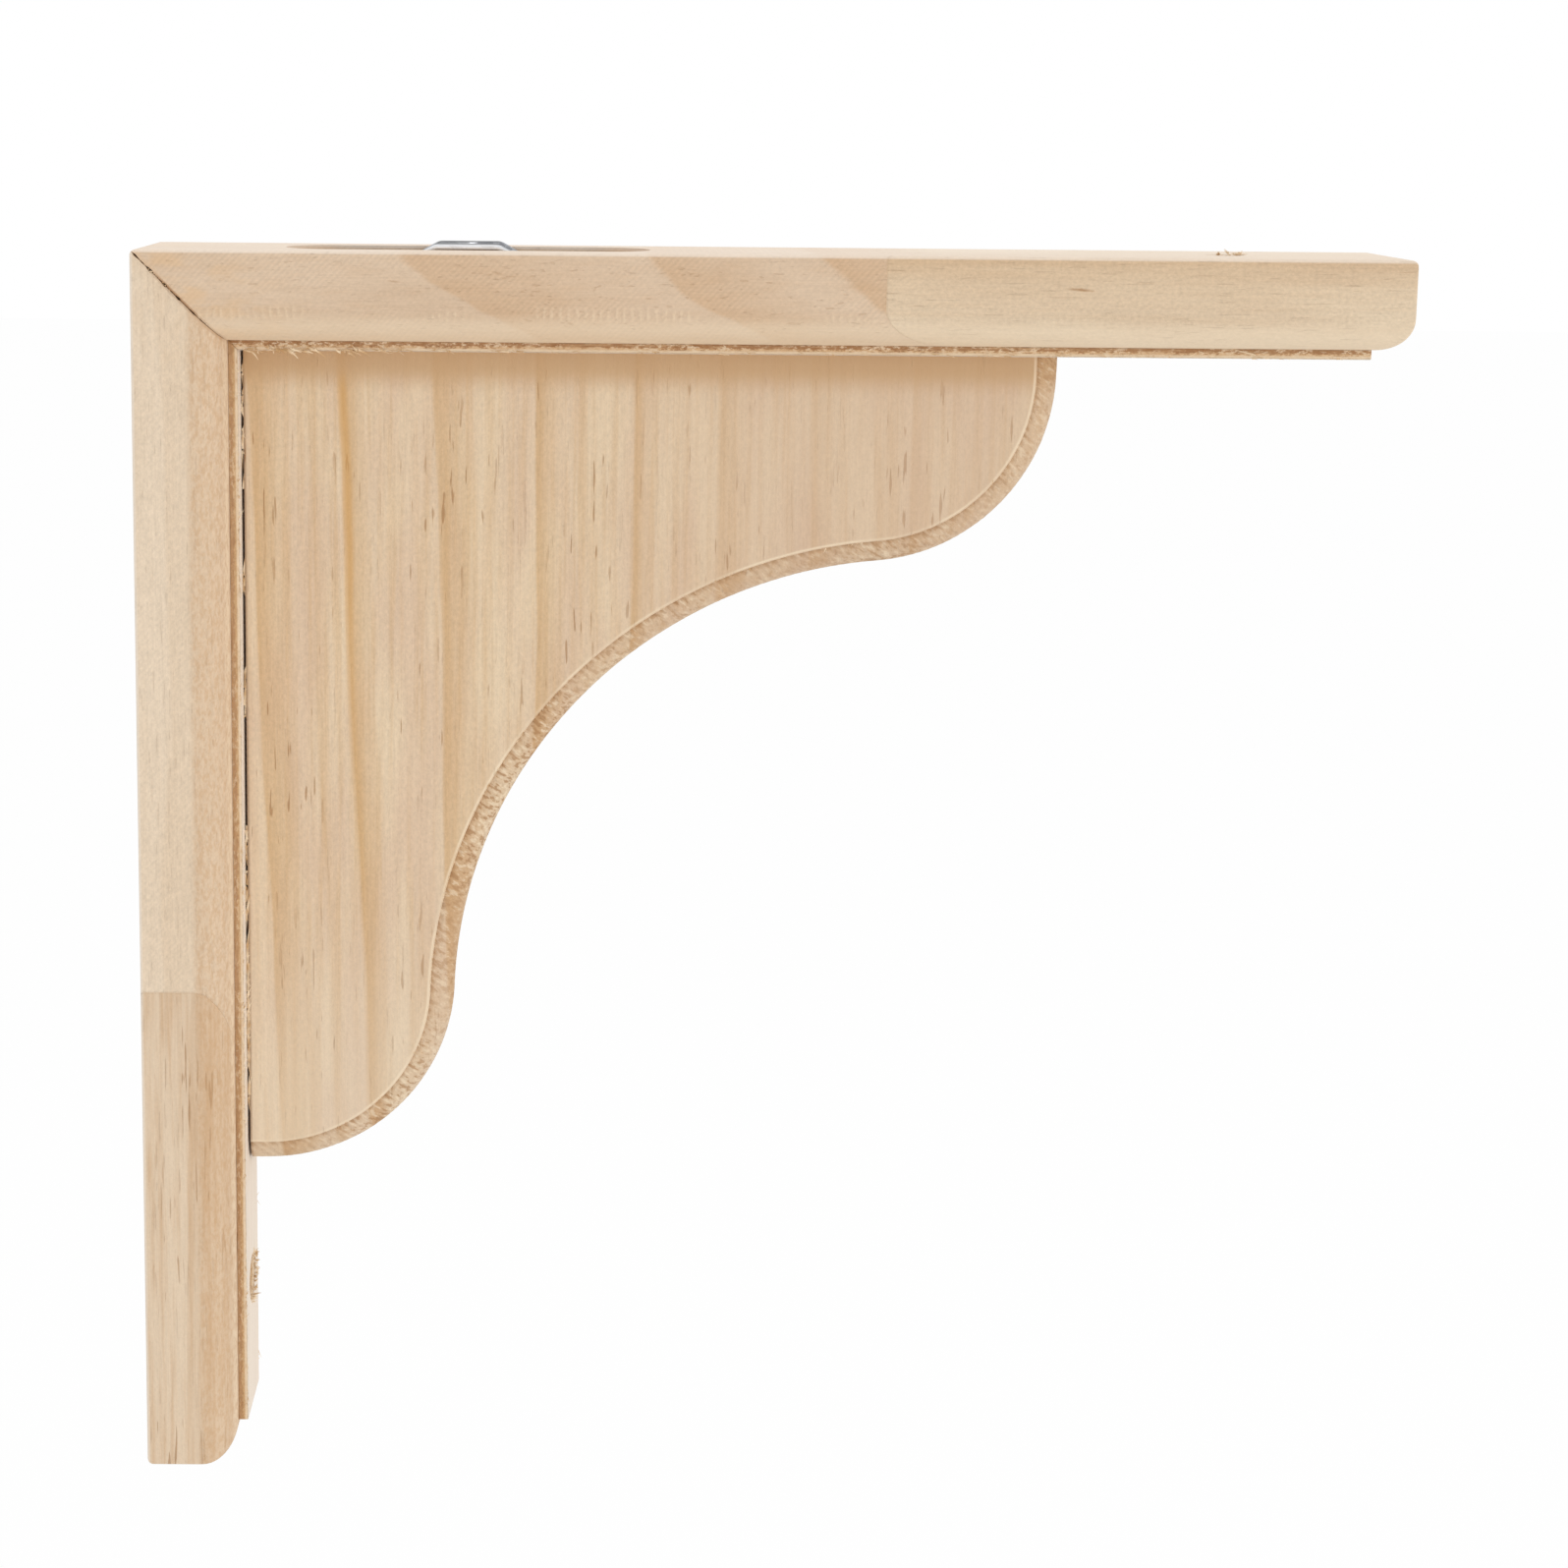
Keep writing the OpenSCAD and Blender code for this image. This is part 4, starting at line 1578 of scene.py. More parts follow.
@dataclass
class RoutedWeb:
    """The thin web: its edge runs down a lobe, round a hollow and round a lobe, routed on both sides."""

    finish: WebFinish
    half_t: float = 4.5
    inner: float = 16.0
    top_z: float = 84.0
    reach_arm: float = 146.5
    foot_z: float = -51.5
    lobe_r: float = 31.0
    straight: float = 3.0
    hollow_sweep: float = 83.0
    leg_gap: float = 0.4
    step: float = 0.5
    land: float = 0.4
    ease: float = 0.26
    columns: int = 900
    rim_width: float = 0.45
    chatter_depth: float = 0.2
    chatter_pitch: float = 1.25
    chatter_drift: Pattern = Pattern((4.0, 4.0, 4.0))
    chatter_grit: Pattern = Pattern((0.8, 0.8, 1.6), 2.5, 3.0, 0.65)
    chatter_patch: Pattern = Pattern((22.0, 22.0, 22.0), 1.0, 9.0, low=0.35, high=0.62, to_low=0.3)
    chatter_side: Band = (0.3 * MM, 3.9 * MM, 0.25 * MM)
    chatter_run: Band = (0.012, 0.988, 0.006)
    least_step: float = 0.01
    merge: float = 0.004
    seed: int = 7

    def edge_path(self) -> list[Point]:
        """The free edge, from the shelf arm to the wall leg.

        Returns:
            Places in millimetres.
        """
        arm = np.array([self.reach_arm - self.lobe_r, self.top_z - self.straight])
        leg = np.array([self.inner + self.straight, self.foot_z + self.lobe_r])
        chord = leg - arm
        half = float(np.hypot(*chord)) / 2
        reach = half / math.sin(math.radians(self.hollow_sweep / 2))
        outward = np.array([-chord[1], chord[0]]) / (2 * half)
        middle = (arm + leg) / 2 + outward * math.sqrt(reach**2 - half**2)
        path = [(self.reach_arm, self.top_z)]
        first = math.atan2(*(middle - arm)[::-1])
        second = math.atan2(*(middle - leg)[::-1])
        pieces = ((arm, self.lobe_r, 0.0, first, 60),
                  (middle, reach - self.lobe_r, first + math.pi, second + math.pi, 120),
                  (leg, self.lobe_r, second, -math.pi / 2, 60))
        for centre, radius, start, stop, steps in pieces:
            for step in range(steps + 1):
                angle = start + (stop - start) * step / steps
                spot = (centre[0] + radius * math.cos(angle), centre[1] + radius * math.sin(angle))
                if math.dist(spot, path[-1]) > self.least_step:
                    path.append(spot)
        path.append((self.inner + self.leg_gap, self.foot_z))
        return [(x, 0.0, z) for x, z in path]

    def edge_profile(self) -> list[Point]:
        """Section of the routed edge from the front face to the back.

        Returns:
            (inset, place across, 0) points in millimetres.
        """
        radius = self.half_t - self.step - self.land / 2
        half = [(radius + self.ease * (1 - math.sin(angle)), self.half_t - self.ease * (1 - math.cos(angle)))
                for angle in quarter_turn(4)]
        half += [(radius * (1 - math.sin(angle)), self.land / 2 + radius * math.cos(angle))
                 for angle in quarter_turn(14)]
        return [(inset, -y, 0.0) for inset, y in half] + [(inset, y, 0.0) for inset, y in reversed(half)]

    def carve(self, g: Graph, given: bpy.types.NodeOutputs, spot: Socket, inward: Socket, across: Socket,
              along: Socket) -> Socket:
        """The cutter's ridges, as a move of the edge's points.

        Args:
            g: the tree's graph.
            given: the tree's inputs.
            spot: place on the smooth edge in metres.
            inward: direction into the web.
            across: metres from the middle.
            along: share of the edge's length.

        Returns:
            The place with its ridge.
        """
        x, _, z = g.split(spot)
        diagonal = g.math("DIVIDE", g.times(g.plus(x, z), math.sqrt(0.5)), given["Chatter Pitch"])
        near = g.vector("SCALE", spot, scale=1 / MM)
        seeded = g.vector("ADD", near, g.join(given["Seed"], 0.0, 0.0))
        drift = g.noise(seeded, self.chatter_drift)
        grit = g.noise(seeded, self.chatter_grit)
        where = g.patch(seeded, self.chatter_patch)
        wave = g.math("SINE", g.fused(diagonal, math.tau, g.times(drift, 9.0)))
        relief = g.total((0.13, g.plus(wave, 1.0)), (1.1, grit))
        mask = g.band(g.math("ABSOLUTE", across), *self.chatter_side)
        amount = g.times(g.times(relief, where), g.times(mask, g.band(along, *self.chatter_run)))
        push = g.times(amount, given["Chatter Depth"])
        sideways = g.times(g.math("SIGN", across), 0.8)
        outwards = g.vector("ADD", g.vector("SCALE", inward, scale=-0.5), g.join(0.0, sideways, 0.0))
        return g.vector("ADD", spot, g.vector("SCALE", outwards, scale=g.times(push, -1.0)))

    def rule(self) -> GeometryRule:
        """The tree that sweeps the section along the edge, adds the cutter's ridges and closes the faces.

        Returns:
            The geometry rule.
        """
        rule = GeometryRule("routed_web", {
            "Profile": "object", "Columns": "int", "Rows": "int", "Corner": "vector",
            "Half Thickness": "float", "Rim Width": "float", "Chatter Depth": "float",
            "Chatter Pitch": "float", "Seed": "float", "Finish": "material"})
        g, given = rule.g, rule.inputs
        path = given["Geometry"]
        shape = g.node("GeometryNodeObjectInfo", {"Object": given["Profile"]}).outputs["Geometry"]
        corner_x, _, corner_z = g.split(given["Corner"])

        def grid(columns: Input, rows: Input) -> tuple[Socket, Socket, Socket]:
            """A unit grid with its two running shares."""
            made = g.node("GeometryNodeMeshGrid",
                          {"Size X": 1.0, "Size Y": 1.0, "Vertices X": columns, "Vertices Y": rows})
            x, y, _ = g.split(g.node("GeometryNodeInputPosition").outputs[0])
            return made.outputs["Mesh"], g.plus(x, 0.5), g.plus(y, 0.5)

        def sample(curve: Socket, share: Input) -> tuple[Socket, Socket]:
            """Place and direction at a share of a curve."""
            node = g.node("GeometryNodeSampleCurve", {"Curves": curve, "Factor": share}, mode="FACTOR")
            return node.outputs["Position"], node.outputs["Tangent"]

        def section(share: Input, row: Input) -> tuple[Socket, Socket, Socket]:
            """Place on the routed section.

            Args:
                share: share of the edge's length.
                row: share of the section's length.

            Returns:
                The place, the direction into the web and the place across it.
            """
            place, heading = sample(path, share)
            inward = g.vector("NORMALIZE", g.vector("CROSS_PRODUCT", (0.0, 1.0, 0.0), heading))
            inset, across, _ = g.split(sample(shape, row)[0])
            spot = g.vector("ADD", place, g.vector("SCALE", inward, scale=inset))
            return g.vector("ADD", spot, g.join(0.0, across, 0.0)), inward, across

        def between(share: Socket, first: Socket, second: Socket) -> Socket:
            """Place between two places."""
            return g.node("ShaderNodeMix", {0: share, 4: first, 5: second}, data_type="VECTOR").outputs[1]

        def moved(mesh: Socket, place: Socket) -> Socket:
            """The grid's points put in place."""
            return g.node("GeometryNodeSetPosition", {"Geometry": mesh, "Position": place}).outputs[0]

        mesh, along, row = grid(given["Columns"], given["Rows"])
        spot, inward, across = section(along, row)
        parts = [moved(mesh, self.carve(g, given, spot, inward, across, along))]
        for end, edge in ((0.0, -1.0), (1.0, 1.0)):
            mesh, along, row = grid(given["Columns"], 3)
            ridge, inward, _ = section(along, end)
            near = g.vector("ADD", ridge, g.vector("SCALE", inward, scale=given["Rim Width"]))
            corner = g.join(corner_x, g.times(given["Half Thickness"], edge), corner_z)
            at_ridge = g.math("GREATER_THAN", row, 0.75)
            place = between(at_ridge, between(g.math("GREATER_THAN", row, 0.25), corner, near), ridge)
            marked = g.node("GeometryNodeStoreNamedAttribute",
                            {"Geometry": mesh, "Name": "rim", "Value": at_ridge},
                            data_type="FLOAT", domain="POINT")
            parts.append(moved(marked.outputs[0], place))
        for end in (0.0, 1.0):
            mesh, out, row = grid(2, given["Rows"])
            spot, _, across = section(end, row)
            parts.append(moved(mesh, between(out, spot, g.join(corner_x, across, corner_z))))
        joined = g.node("GeometryNodeJoinGeometry")
        for part in parts:
            g.put(joined.inputs[0], part)
        merged = g.node("GeometryNodeMergeByDistance",
                        {"Geometry": joined.outputs[0], "Distance": self.merge * MM})
        rule.end(merged.outputs[0])
        return rule

    def build(self) -> None:
        """Makes the web and dresses it."""
        material = self.finish.build("web_pine")
        section = self.edge_profile()
        profile = poly_curve("web_profile", section)
        host = poly_curve("web_timber", self.edge_path())
        rows = 2 * len(section) + 1
        made = self.rule().run(host, {
            "Profile": profile, "Columns": self.columns, "Rows": rows,
            "Corner": ((self.inner + self.leg_gap) * MM, 0.0, self.top_z * MM),
            "Half Thickness": self.half_t * MM, "Rim Width": self.rim_width * MM,
            "Chatter Depth": self.chatter_depth * MM, "Chatter Pitch": self.chatter_pitch * MM,
            "Seed": float(self.seed), "Finish": material})
        drop(profile)
        tidy_mesh(made, merge_mm=0.003)
        dress(made, material)
        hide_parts("web_panel")
        report(made)


@dataclass
class KeyholePlate:
    """The zinc hanger plate: flat feet, a raised bridge between them and a keyhole through the bridge."""

    finish: ZincFinish
    centre_x: float = 52.0
    seat_z: float = 98.2
    length: float = 46.0
    width: float = 13.0
    thickness: float = 0.8
    corner_r: float = 4.0
    foot_half: float = 8.5
    top_half: float = 5.0
    rise: float = 1.9
    head_d: float = 8.0
    slot_w: float = 4.0
    travel: float = 6.0
    screw_x: float = 17.0
    screw_hole_r: float = 1.35
    bend: Band = (-0.35, 0.0, 0.35)
    edge_ease: float = 0.1
    ease_angle: float = 40.0

    def height(self, x: float) -> float:
        """Height of the sheet's underside, with softened bends.

        Args:
            x: millimetres from the middle.

        Returns:
            Millimetres above the feet.
        """
        total = 0.0
        for shift in self.bend:
            share = (self.foot_half - abs(x) - shift) / (self.foot_half - self.top_half)
            total += min(1.0, max(0.0, share))
        return self.rise * total / len(self.bend)

    def outline(self) -> list[Range]:
        """The flat sheet's outline with its rounded corners.

        Returns:
            (x, y) places in millimetres.
        """
        outline = []
        corner_x, corner_y = self.length / 2 - self.corner_r, self.width / 2 - self.corner_r
        for sign_x, sign_y, start in ((1, 1, 0), (-1, 1, 90), (-1, -1, 180), (1, -1, 270)):
            for step in range(11):
                angle = math.radians(start + 9 * step)
                outline.append((sign_x * corner_x + self.corner_r * math.cos(angle),
                                sign_y * corner_y + self.corner_r * math.sin(angle)))
        return outline

    def build(self) -> None:
        """Makes the plate: a fine flat sheet is bent to height, thickened, cut and eased."""
        work = bmesh.new()
        work.faces.new([work.verts.new((x, y, 0.0)) for x, y in self.outline()])
        cuts = sorted({sign * (edge + shift) for edge in (self.foot_half, self.top_half)
                       for shift in self.bend for sign in (-1, 1)})
        for cut in cuts:
            parts = [*work.verts, *work.edges, *work.faces]
            bmesh.ops.bisect_plane(work, geom=parts, plane_co=(cut, 0, 0), plane_no=(1, 0, 0))
        for vert in work.verts:
            vert.co.z = self.height(vert.co.x)
        grown = bmesh.ops.extrude_face_region(work, geom=list(work.faces))
        for item in grown["geom"]:
            if isinstance(item, bmesh.types.BMVert):
                item.co.z += self.thickness
        bmesh.ops.recalc_face_normals(work, faces=work.faces)
        for vert in work.verts:
            vert.co = (Vector((self.centre_x, 0, self.seat_z)) + vert.co) * MM
        mesh = bpy.data.meshes.new("keyhole_plate")
        work.to_mesh(mesh)
        work.free()
        made = subtract(add_object("keyhole_plate", mesh), self.cutters())
        bevel = made.modifiers.new("ease", "BEVEL")
        bevel.width, bevel.segments, bevel.limit_method = self.edge_ease * MM, 2, "ANGLE"
        bevel.angle_limit = math.radians(self.ease_angle)
        made = bake_modifiers(made)
        tidy_mesh(made, merge_mm=0.001)
        dress(made, self.finish.build("zinc_plate"))
        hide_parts("hanger_plate")
        report(made)

    def cutters(self) -> list[bpy.types.Object]:
        """Shapes of the keyhole and of the two screw holes.

        Returns:
            The mesh objects.
        """
        low, high = self.seat_z - 1, self.seat_z + self.rise + self.thickness + 1
        key = self.centre_x + self.travel / 2
        shapes = [lathe("head", [(self.head_d / 2, low), (self.head_d / 2, high)], (key, 0, 0), "Z", 56),
                  slot_shape("slot", self.travel + self.slot_w, self.slot_w, low, high, self.centre_x, 24)]
        hole = [(self.screw_hole_r, low), (self.screw_hole_r, high)]
        return shapes + [lathe("screw_hole", hole, (self.centre_x + side * self.screw_x, 0, 0), "Z", 32)
                         for side in (-1, 1)]


@dataclass
class PlateScrews:
    """The two low-headed screws of the plate, with a cross recess in each head."""

    finish: ZincFinish
    centre_x: float = 52.0
    spacing: float = 34.0
    seat_z: float = 99.0
    head_d: float = 5.0
    head_h: float = 0.3
    shank_d: float = 2.6
    shank_l: float = 10.0
    cross_w: float = 0.7
    cross_l: float = 2.7
    cross_depth: float = 0.55
    turn: float = 0.6

    def one(self) -> bpy.types.Object:
        """One screw standing on its seat at the origin.

        Returns:
            The mesh object.
        """
        head, shank = self.head_d / 2, self.shank_d / 2
        profile = [(0.15, -self.shank_l), (shank * 0.8, -self.shank_l + 1.6), (shank, -self.shank_l + 2.2)]
        profile += [(shank, 0.0), (head - 0.05, 0.0), (head, 0.05), (head * 0.97, self.head_h * 0.4)]
        profile += [(head * 0.8, self.head_h * 0.8), (head * 0.5, self.head_h * 0.96), (0.2, self.head_h)]
        body = lathe("plate_screw", profile, (0, 0, 0), "Z", 48)
        low = self.head_h - self.cross_depth
        arms = [slot_shape(name, self.cross_l, self.cross_w, low, self.head_h + 1, 0.0, 6)
                for name in ("cross", "cross_turned")]
        arms[1].data.transform(Matrix.Rotation(math.radians(90), 4, "Z"))
        return subtract(body, arms)

    def rule(self) -> GeometryRule:
        """The tree that sets one screw at each end of a line, each turned its own way.

        Returns:
            The geometry rule.
        """
        rule = GeometryRule("plate_screws", {"Screw": "object", "Spacing": "float", "Turn": "float",
                                             "Finish": "material"})
        g, given = rule.g, rule.inputs
        start = g.vector("SCALE", g.join(given["Spacing"], 0.0, 0.0), scale=-0.5)
        line = g.node("GeometryNodeMeshLine",
                      {"Count": 2, "Start Location": start, "Offset": g.join(given["Spacing"], 0.0, 0.0)})
        screw = g.node("GeometryNodeObjectInfo", {"Object": given["Screw"]}).outputs["Geometry"]
        number = g.node("GeometryNodeInputIndex").outputs[0]
        turn = g.node("FunctionNodeEulerToRotation",
                      {0: g.join(0.0, 0.0, g.fused(number, given["Turn"], given["Turn"]))})
        spread = g.node("GeometryNodeInstanceOnPoints", {"Points": line.outputs[0], "Instance": screw,
                                                         "Rotation": turn.outputs[0]})
        rule.end(spread.outputs[0])
        return rule

    def build(self) -> None:
        """Makes both screws and dresses them."""
        material = self.finish.build("zinc_screw")
        screw = self.one()
        host = mesh_object("plate_screws", np.zeros((1, 3)), [])
        made = self.rule().run(host, {"Screw": screw, "Spacing": self.spacing * MM, "Turn": self.turn,
                                      "Finish": material})
        drop(screw)
        made.data.transform(Matrix.Translation(Vector((self.centre_x, 0, self.seat_z)) * MM))
        tidy_mesh(made, merge_mm=0.0005)
        dress(made, material)
        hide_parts("plate_screw_a", "plate_screw_b")
        report(made)


@dataclass
class FibreRow:
    """A path along which the cutter lifted fibres."""

    name: str
    path: Sequence[Point]
    grain: Point
    count: int
    length: float = 1.0
    spread: float = 0.5
    sideways: float = 0.12
    closed: bool = False
    thick: float = 1.0
    seed: int = 1


def keep_inside(obj: bpy.types.Object, box: Sequence[Sequence[float]]) -> None:
    """Presses whatever reaches out of a box back to its sides.

    Args:
        obj: the mesh object.
        box: the box's two far corners in metres.
    """
    count = len(obj.data.vertices)
    flat = np.empty(count * 3)
    obj.data.vertices.foreach_get("co", flat)
    inside = np.clip(flat.reshape(-1, 3), np.array(box[0]), np.array(box[1]))
    obj.data.vertices.foreach_set("co", inside.ravel())
    obj.data.update()


@dataclass
class LiftedFibres:
    """Fine torn fibres along the routed edges and round the screw holes."""

    finish: FibreFinish
    box: Sequence[Sequence[float]]
    rows: Sequence[FibreRow]
    thickness: float = 0.13
    taper: float = 0.85
    curl: float = 0.22
    flatness: float = 0.6
    clumps: Pattern = Pattern((7.0, 7.0, 7.0))

    def sliver(self) -> bpy.types.Object:
        """One fibre: a thin curling splinter a unit long, pointed at its free end.

        Returns:
            The mesh object.
        """
        points, faces = [], []
        rings = 5
        for ring in range(rings):
            share = ring / (rings - 1)
            thin = self.thickness * (1 - self.taper * share)
            curl = self.curl * share**2
            for corner in range(3):
                angle = math.tau * corner / 3
                points.append((thin * math.cos(angle) + curl, thin * self.flatness * math.sin(angle), share))
        for ring in range(rings - 1):
            for corner in range(3):
                low, nxt = ring * 3, (corner + 1) % 3
                faces.append([low + corner, low + nxt, low + 3 + nxt, low + 3 + corner])
        faces += [[2, 1, 0], [(rings - 1) * 3 + corner for corner in range(3)]]
        return mesh_object("sliver", np.array(points), faces)

    def rule(self) -> GeometryRule:
        """The tree that scatters slivers along a path, mostly with the grain.

        Returns:
            The geometry rule.
        """
        rule = GeometryRule("lifted_fibres", {
            "Sliver": "object", "Count": "int", "Length": "float", "Grain": "vector", "Spread": "float",
            "Sideways": "float", "Thickness": "float", "Seed": "int", "Finish": "material"})
        g, given = rule.g, rule.inputs

        def chance(low: Input, high: Input, channel: int, kind: str = "FLOAT") -> Socket:
            """A random value for each point.

            Args:
                low: least value.
                high: greatest value.
                channel: keeps it apart from the others of its seed.
                kind: FLOAT or FLOAT_VECTOR.

            Returns:
                The value.
            """
            first, out = (0, 0) if kind == "FLOAT_VECTOR" else (2, 1)
            seed = g.node("FunctionNodeIntegerMath", {0: given["Seed"], 1: channel}, operation="ADD")
            node = g.node("FunctionNodeRandomValue", data_type=kind)
            for socket, value in ((first, low), (first + 1, high), ("Seed", seed.outputs[0])):
                g.put(node.inputs[socket], value)
            return node.outputs[out]

        def stray(channel: int, size: Socket) -> Socket:
            """A random move of up to a size each way."""
            return g.vector("SCALE", chance((-1.0,) * 3, (1.0,) * 3, channel, "FLOAT_VECTOR"), scale=size)

        spots = g.node("GeometryNodeCurveToPoints", {"Curve": given["Geometry"], "Count": given["Count"]})
        here = g.vector("SCALE", g.node("GeometryNodeInputPosition").outputs[0], scale=1 / MM)
        keep = g.math("GREATER_THAN", g.noise(here, self.clumps), 0.5)
        thinned = g.node("GeometryNodeDeleteGeometry",
                         {"Geometry": spots.outputs["Points"], "Selection": g.less(1.0, keep)},
                         domain="POINT")
        placed = g.node("GeometryNodeSetPosition",
                        {"Geometry": thinned.outputs[0], "Offset": stray(1, given["Sideways"])})
        way = g.math("SIGN", chance(-1.0, 1.0, 3))
        heading = g.vector("ADD", g.vector("SCALE", given["Grain"], scale=way), stray(2, given["Spread"]))
        turn = g.node("FunctionNodeAlignRotationToVector", {"Vector": heading}, axis="Z")
        size = g.times(g.math("POWER", chance(0.25, 1.0, 4), 2.0), given["Length"])
        thick = g.times(chance(0.5, 1.1, 5), given["Thickness"])
        sliver = g.node("GeometryNodeObjectInfo", {"Object": given["Sliver"]}).outputs["Geometry"]
        spread = g.node("GeometryNodeInstanceOnPoints", {
            "Points": placed.outputs[0], "Instance": sliver, "Rotation": turn.outputs[0],
            "Scale": g.join(thick, thick, size)})
        rule.end(spread.outputs[0])
        return rule

    def build(self) -> None:
        """Makes one piece of fibres for each row."""
        material = self.finish.build("lifted_fibre")
        sliver = self.sliver()
        rule = self.rule()
        for row in self.rows:
            host = poly_curve(row.name, row.path, row.closed)
            made = rule.run(host, {
                "Sliver": sliver, "Count": row.count, "Length": row.length, "Grain": row.grain,
                "Spread": row.spread, "Sideways": row.sideways * MM, "Thickness": row.thick, "Seed": row.seed,
                "Finish": material})
            keep_inside(made, self.box)
            tidy_mesh(made, merge_mm=0.0002)
            dress(made, material)
            report(made)
        drop(sliver)


@dataclass(frozen=True)
class SoftLamp:
    """A square area lamp: where it hangs and its side, in metres, and its power in watts."""

    name: str
    place: Point
    size: float
    watts: float


@dataclass
class Studio:
    """Plain white floor, soft lamps and the camera."""

    lamps: tuple[SoftLamp, ...] = (SoftLamp("key", (0.35, -0.95, 1.15), 0.8, 1.2),
                                   SoftLamp("top", (0.05, 0.1, 1.1), 0.9, 2.9),
                                   SoftLamp("side", (2.2, -0.5, 0.0), 1.2, 12.0),
                                   SoftLamp("low", (-0.1, -0.95, -0.34), 0.9, 2.8))
    lamp_target: Point = (0.08, 0.0, 0.02)
    floor_z: float = -0.42
    floor_size: float = 14.0
    world_level: float = 0.78
    camera_at: Point = (0.0715, -0.4452, 0.1205)
    lens: float = 63.77
    tilt: float = 8.34
    yaw: float = -0.19
    roll: float = 0.52
    shift: tuple[float, float] = (0.119, -0.164)

    def hang(self, lamp: SoftLamp) -> None:
        """Hangs one lamp facing the bracket.

        Args:
            lamp: the lamp.
        """
        data = bpy.data.lights.new(lamp.name, "AREA")
        data.size, data.energy = lamp.size, lamp.watts
        made = add_object(lamp.name, data)
        made.location = lamp.place
        facing = Vector(self.lamp_target) - Vector(lamp.place)
        made.rotation_euler = facing.to_track_quat("-Z", "Y").to_euler()

    def build_floor(self) -> None:
        """Lays the floor well below the bracket, which hangs as on its wall."""
        half = self.floor_size / 2 / MM
        level = self.floor_z / MM
        corners = [(-half, -half, level), (half, -half, level), (half, half, level), (-half, half, level)]
        floor = mesh_object("floor", np.array(corners), [[0, 1, 2, 3]])
        floor.data.materials.append(PlainStageFinish().build("floor_white"))
        floor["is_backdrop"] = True

    def build_world(self) -> None:
        """Even light from all round, seen as plain white."""
        world = bpy.data.worlds.new("studio")
        bpy.context.scene.world = world
        world.use_nodes = True
        g = Graph(world.node_tree)
        background = world.node_tree.nodes["Background"]
        background.inputs["Color"].default_value = (1.0, 1.0, 1.0, 1.0)
        g.put(background.inputs["Strength"], g.span(seen_rays(g), 0.0, 1.0, self.world_level, 1.0))

    def build_camera(self) -> None:
        """Sets the camera before the bracket, a little above it and looking slightly down."""
        data = bpy.data.cameras.new("camera")
        data.lens, data.sensor_width = self.lens, 36.0
        data.shift_x, data.shift_y = self.shift
        data.clip_start, data.clip_end = 0.01, 50.0
        camera = add_object("camera", data)
        yaw, level, roll = (Matrix.Rotation(math.radians(angle), 4, axis)
                            for angle, axis in ((self.yaw, "Z"), (90 - self.tilt, "X"), (self.roll, "Z")))
        camera.matrix_world = Matrix.Translation(self.camera_at) @ (yaw @ level @ roll)
        bpy.context.scene.camera = camera

    def build(self) -> None:
        """Sets up the whole studio."""
        self.build_floor()
        self.build_world()
        for lamp in self.lamps:
            self.hang(lamp)
        self.build_camera()
        bpy.context.scene.view_settings.view_transform = "Standard"


def shelf_finish() -> ArmFinish:
    """Wood of the shelf arm: wavy slanting rings by the mitre, plain straight grain at the free end.

    Returns:
        The finish.
    """
    near = PineBoard(light=srgb(216, 191, 164), warm=srgb(206, 178, 149), late=srgb(198, 158, 116),
                     ring_strength=0.62, streak=0.14, streak_size=(7.0, 1.6, 1.6), pores=0.22,
                     pore_size=(1.6, 0.5, 0.6), speckle=0.26, flame=0.6, seed=1.0)
    far = PineBoard(light=srgb(225, 205, 177), warm=srgb(214, 190, 161), late=srgb(199, 164, 125),
                    ring_direction=(0.02, 1.0, 0.5), ring_width=22.0, ring_offset=0.2, ring_strength=0.85,
                    ring_fade=3.4, wander=1.6, streak=0.16, streak_size=(30.0, 1.6, 1.6), pores=0.2,
                    pore_size=(6.0, 0.35, 0.5), speckle=0.4, flame=0.6, seed=2.0)
    rings = (GrowthRing(43.0, 34.0, 0.7), GrowthRing(80.0, 18.0, 0.75), GrowthRing(107.5, 16.0, 0.85))
    return ArmFinish(Place.SHELF, near, far, joint_at=117.5, rings=rings, round_tint=0.06, round_painted_light=0.55,
                     ripples=0.45,
                     marks=(ResinMark(147.8, 5.0, 5.6, 0.7, 0.7), ResinMark(68.5, 11.0, 1.6, 0.8, 0.5),
                            ResinMark(41.0, 4.6, 3.0, 0.5, 0.35), ResinMark(57.0, 3.2, 2.2, 0.7, 0.3)))


def leg_finish() -> ArmFinish:
    """Wood of the wall leg: pale mottled wood by the mitre, brown-streaked wood at the free end.

    Returns:
        The finish.
    """
    near = PineBoard(light=srgb(226, 206, 181), warm=srgb(218, 196, 169), late=srgb(205, 172, 133),
                     ring_direction=(0.0, 0.3, 1.0), ring_width=11.0, ring_strength=0.2, wander=3.0,
                     streak=0.06, pores=0.1, speckle=0.4, flame=0.4, seed=3.0)
    far = PineBoard(light=srgb(222, 200, 173), warm=srgb(213, 187, 158), late=srgb(196, 158, 118),
                    ring_direction=(0.02, 1.0, 0.1), ring_width=11.5, ring_offset=0.05, ring_strength=0.3,
                    ring_fade=3.0, wander=3.0, streak=0.58, streak_size=(28.0, 1.2, 1.2), pores=0.6,
                    pore_size=(7.0, 0.5, 0.6), pore_limit=0.63, speckle=0.2, seed=4.0)
    return ArmFinish(Place.WALL, near, far, joint_at=119.2, round_tint=0.62, saw_marks=0.015,
                     corner_tan=0.12, mitre_stain=0.35, step_torn=0.4, step_colour=srgb(203, 162, 113),
                     step_dark_torn_and_shade=srgb(178, 132, 88))


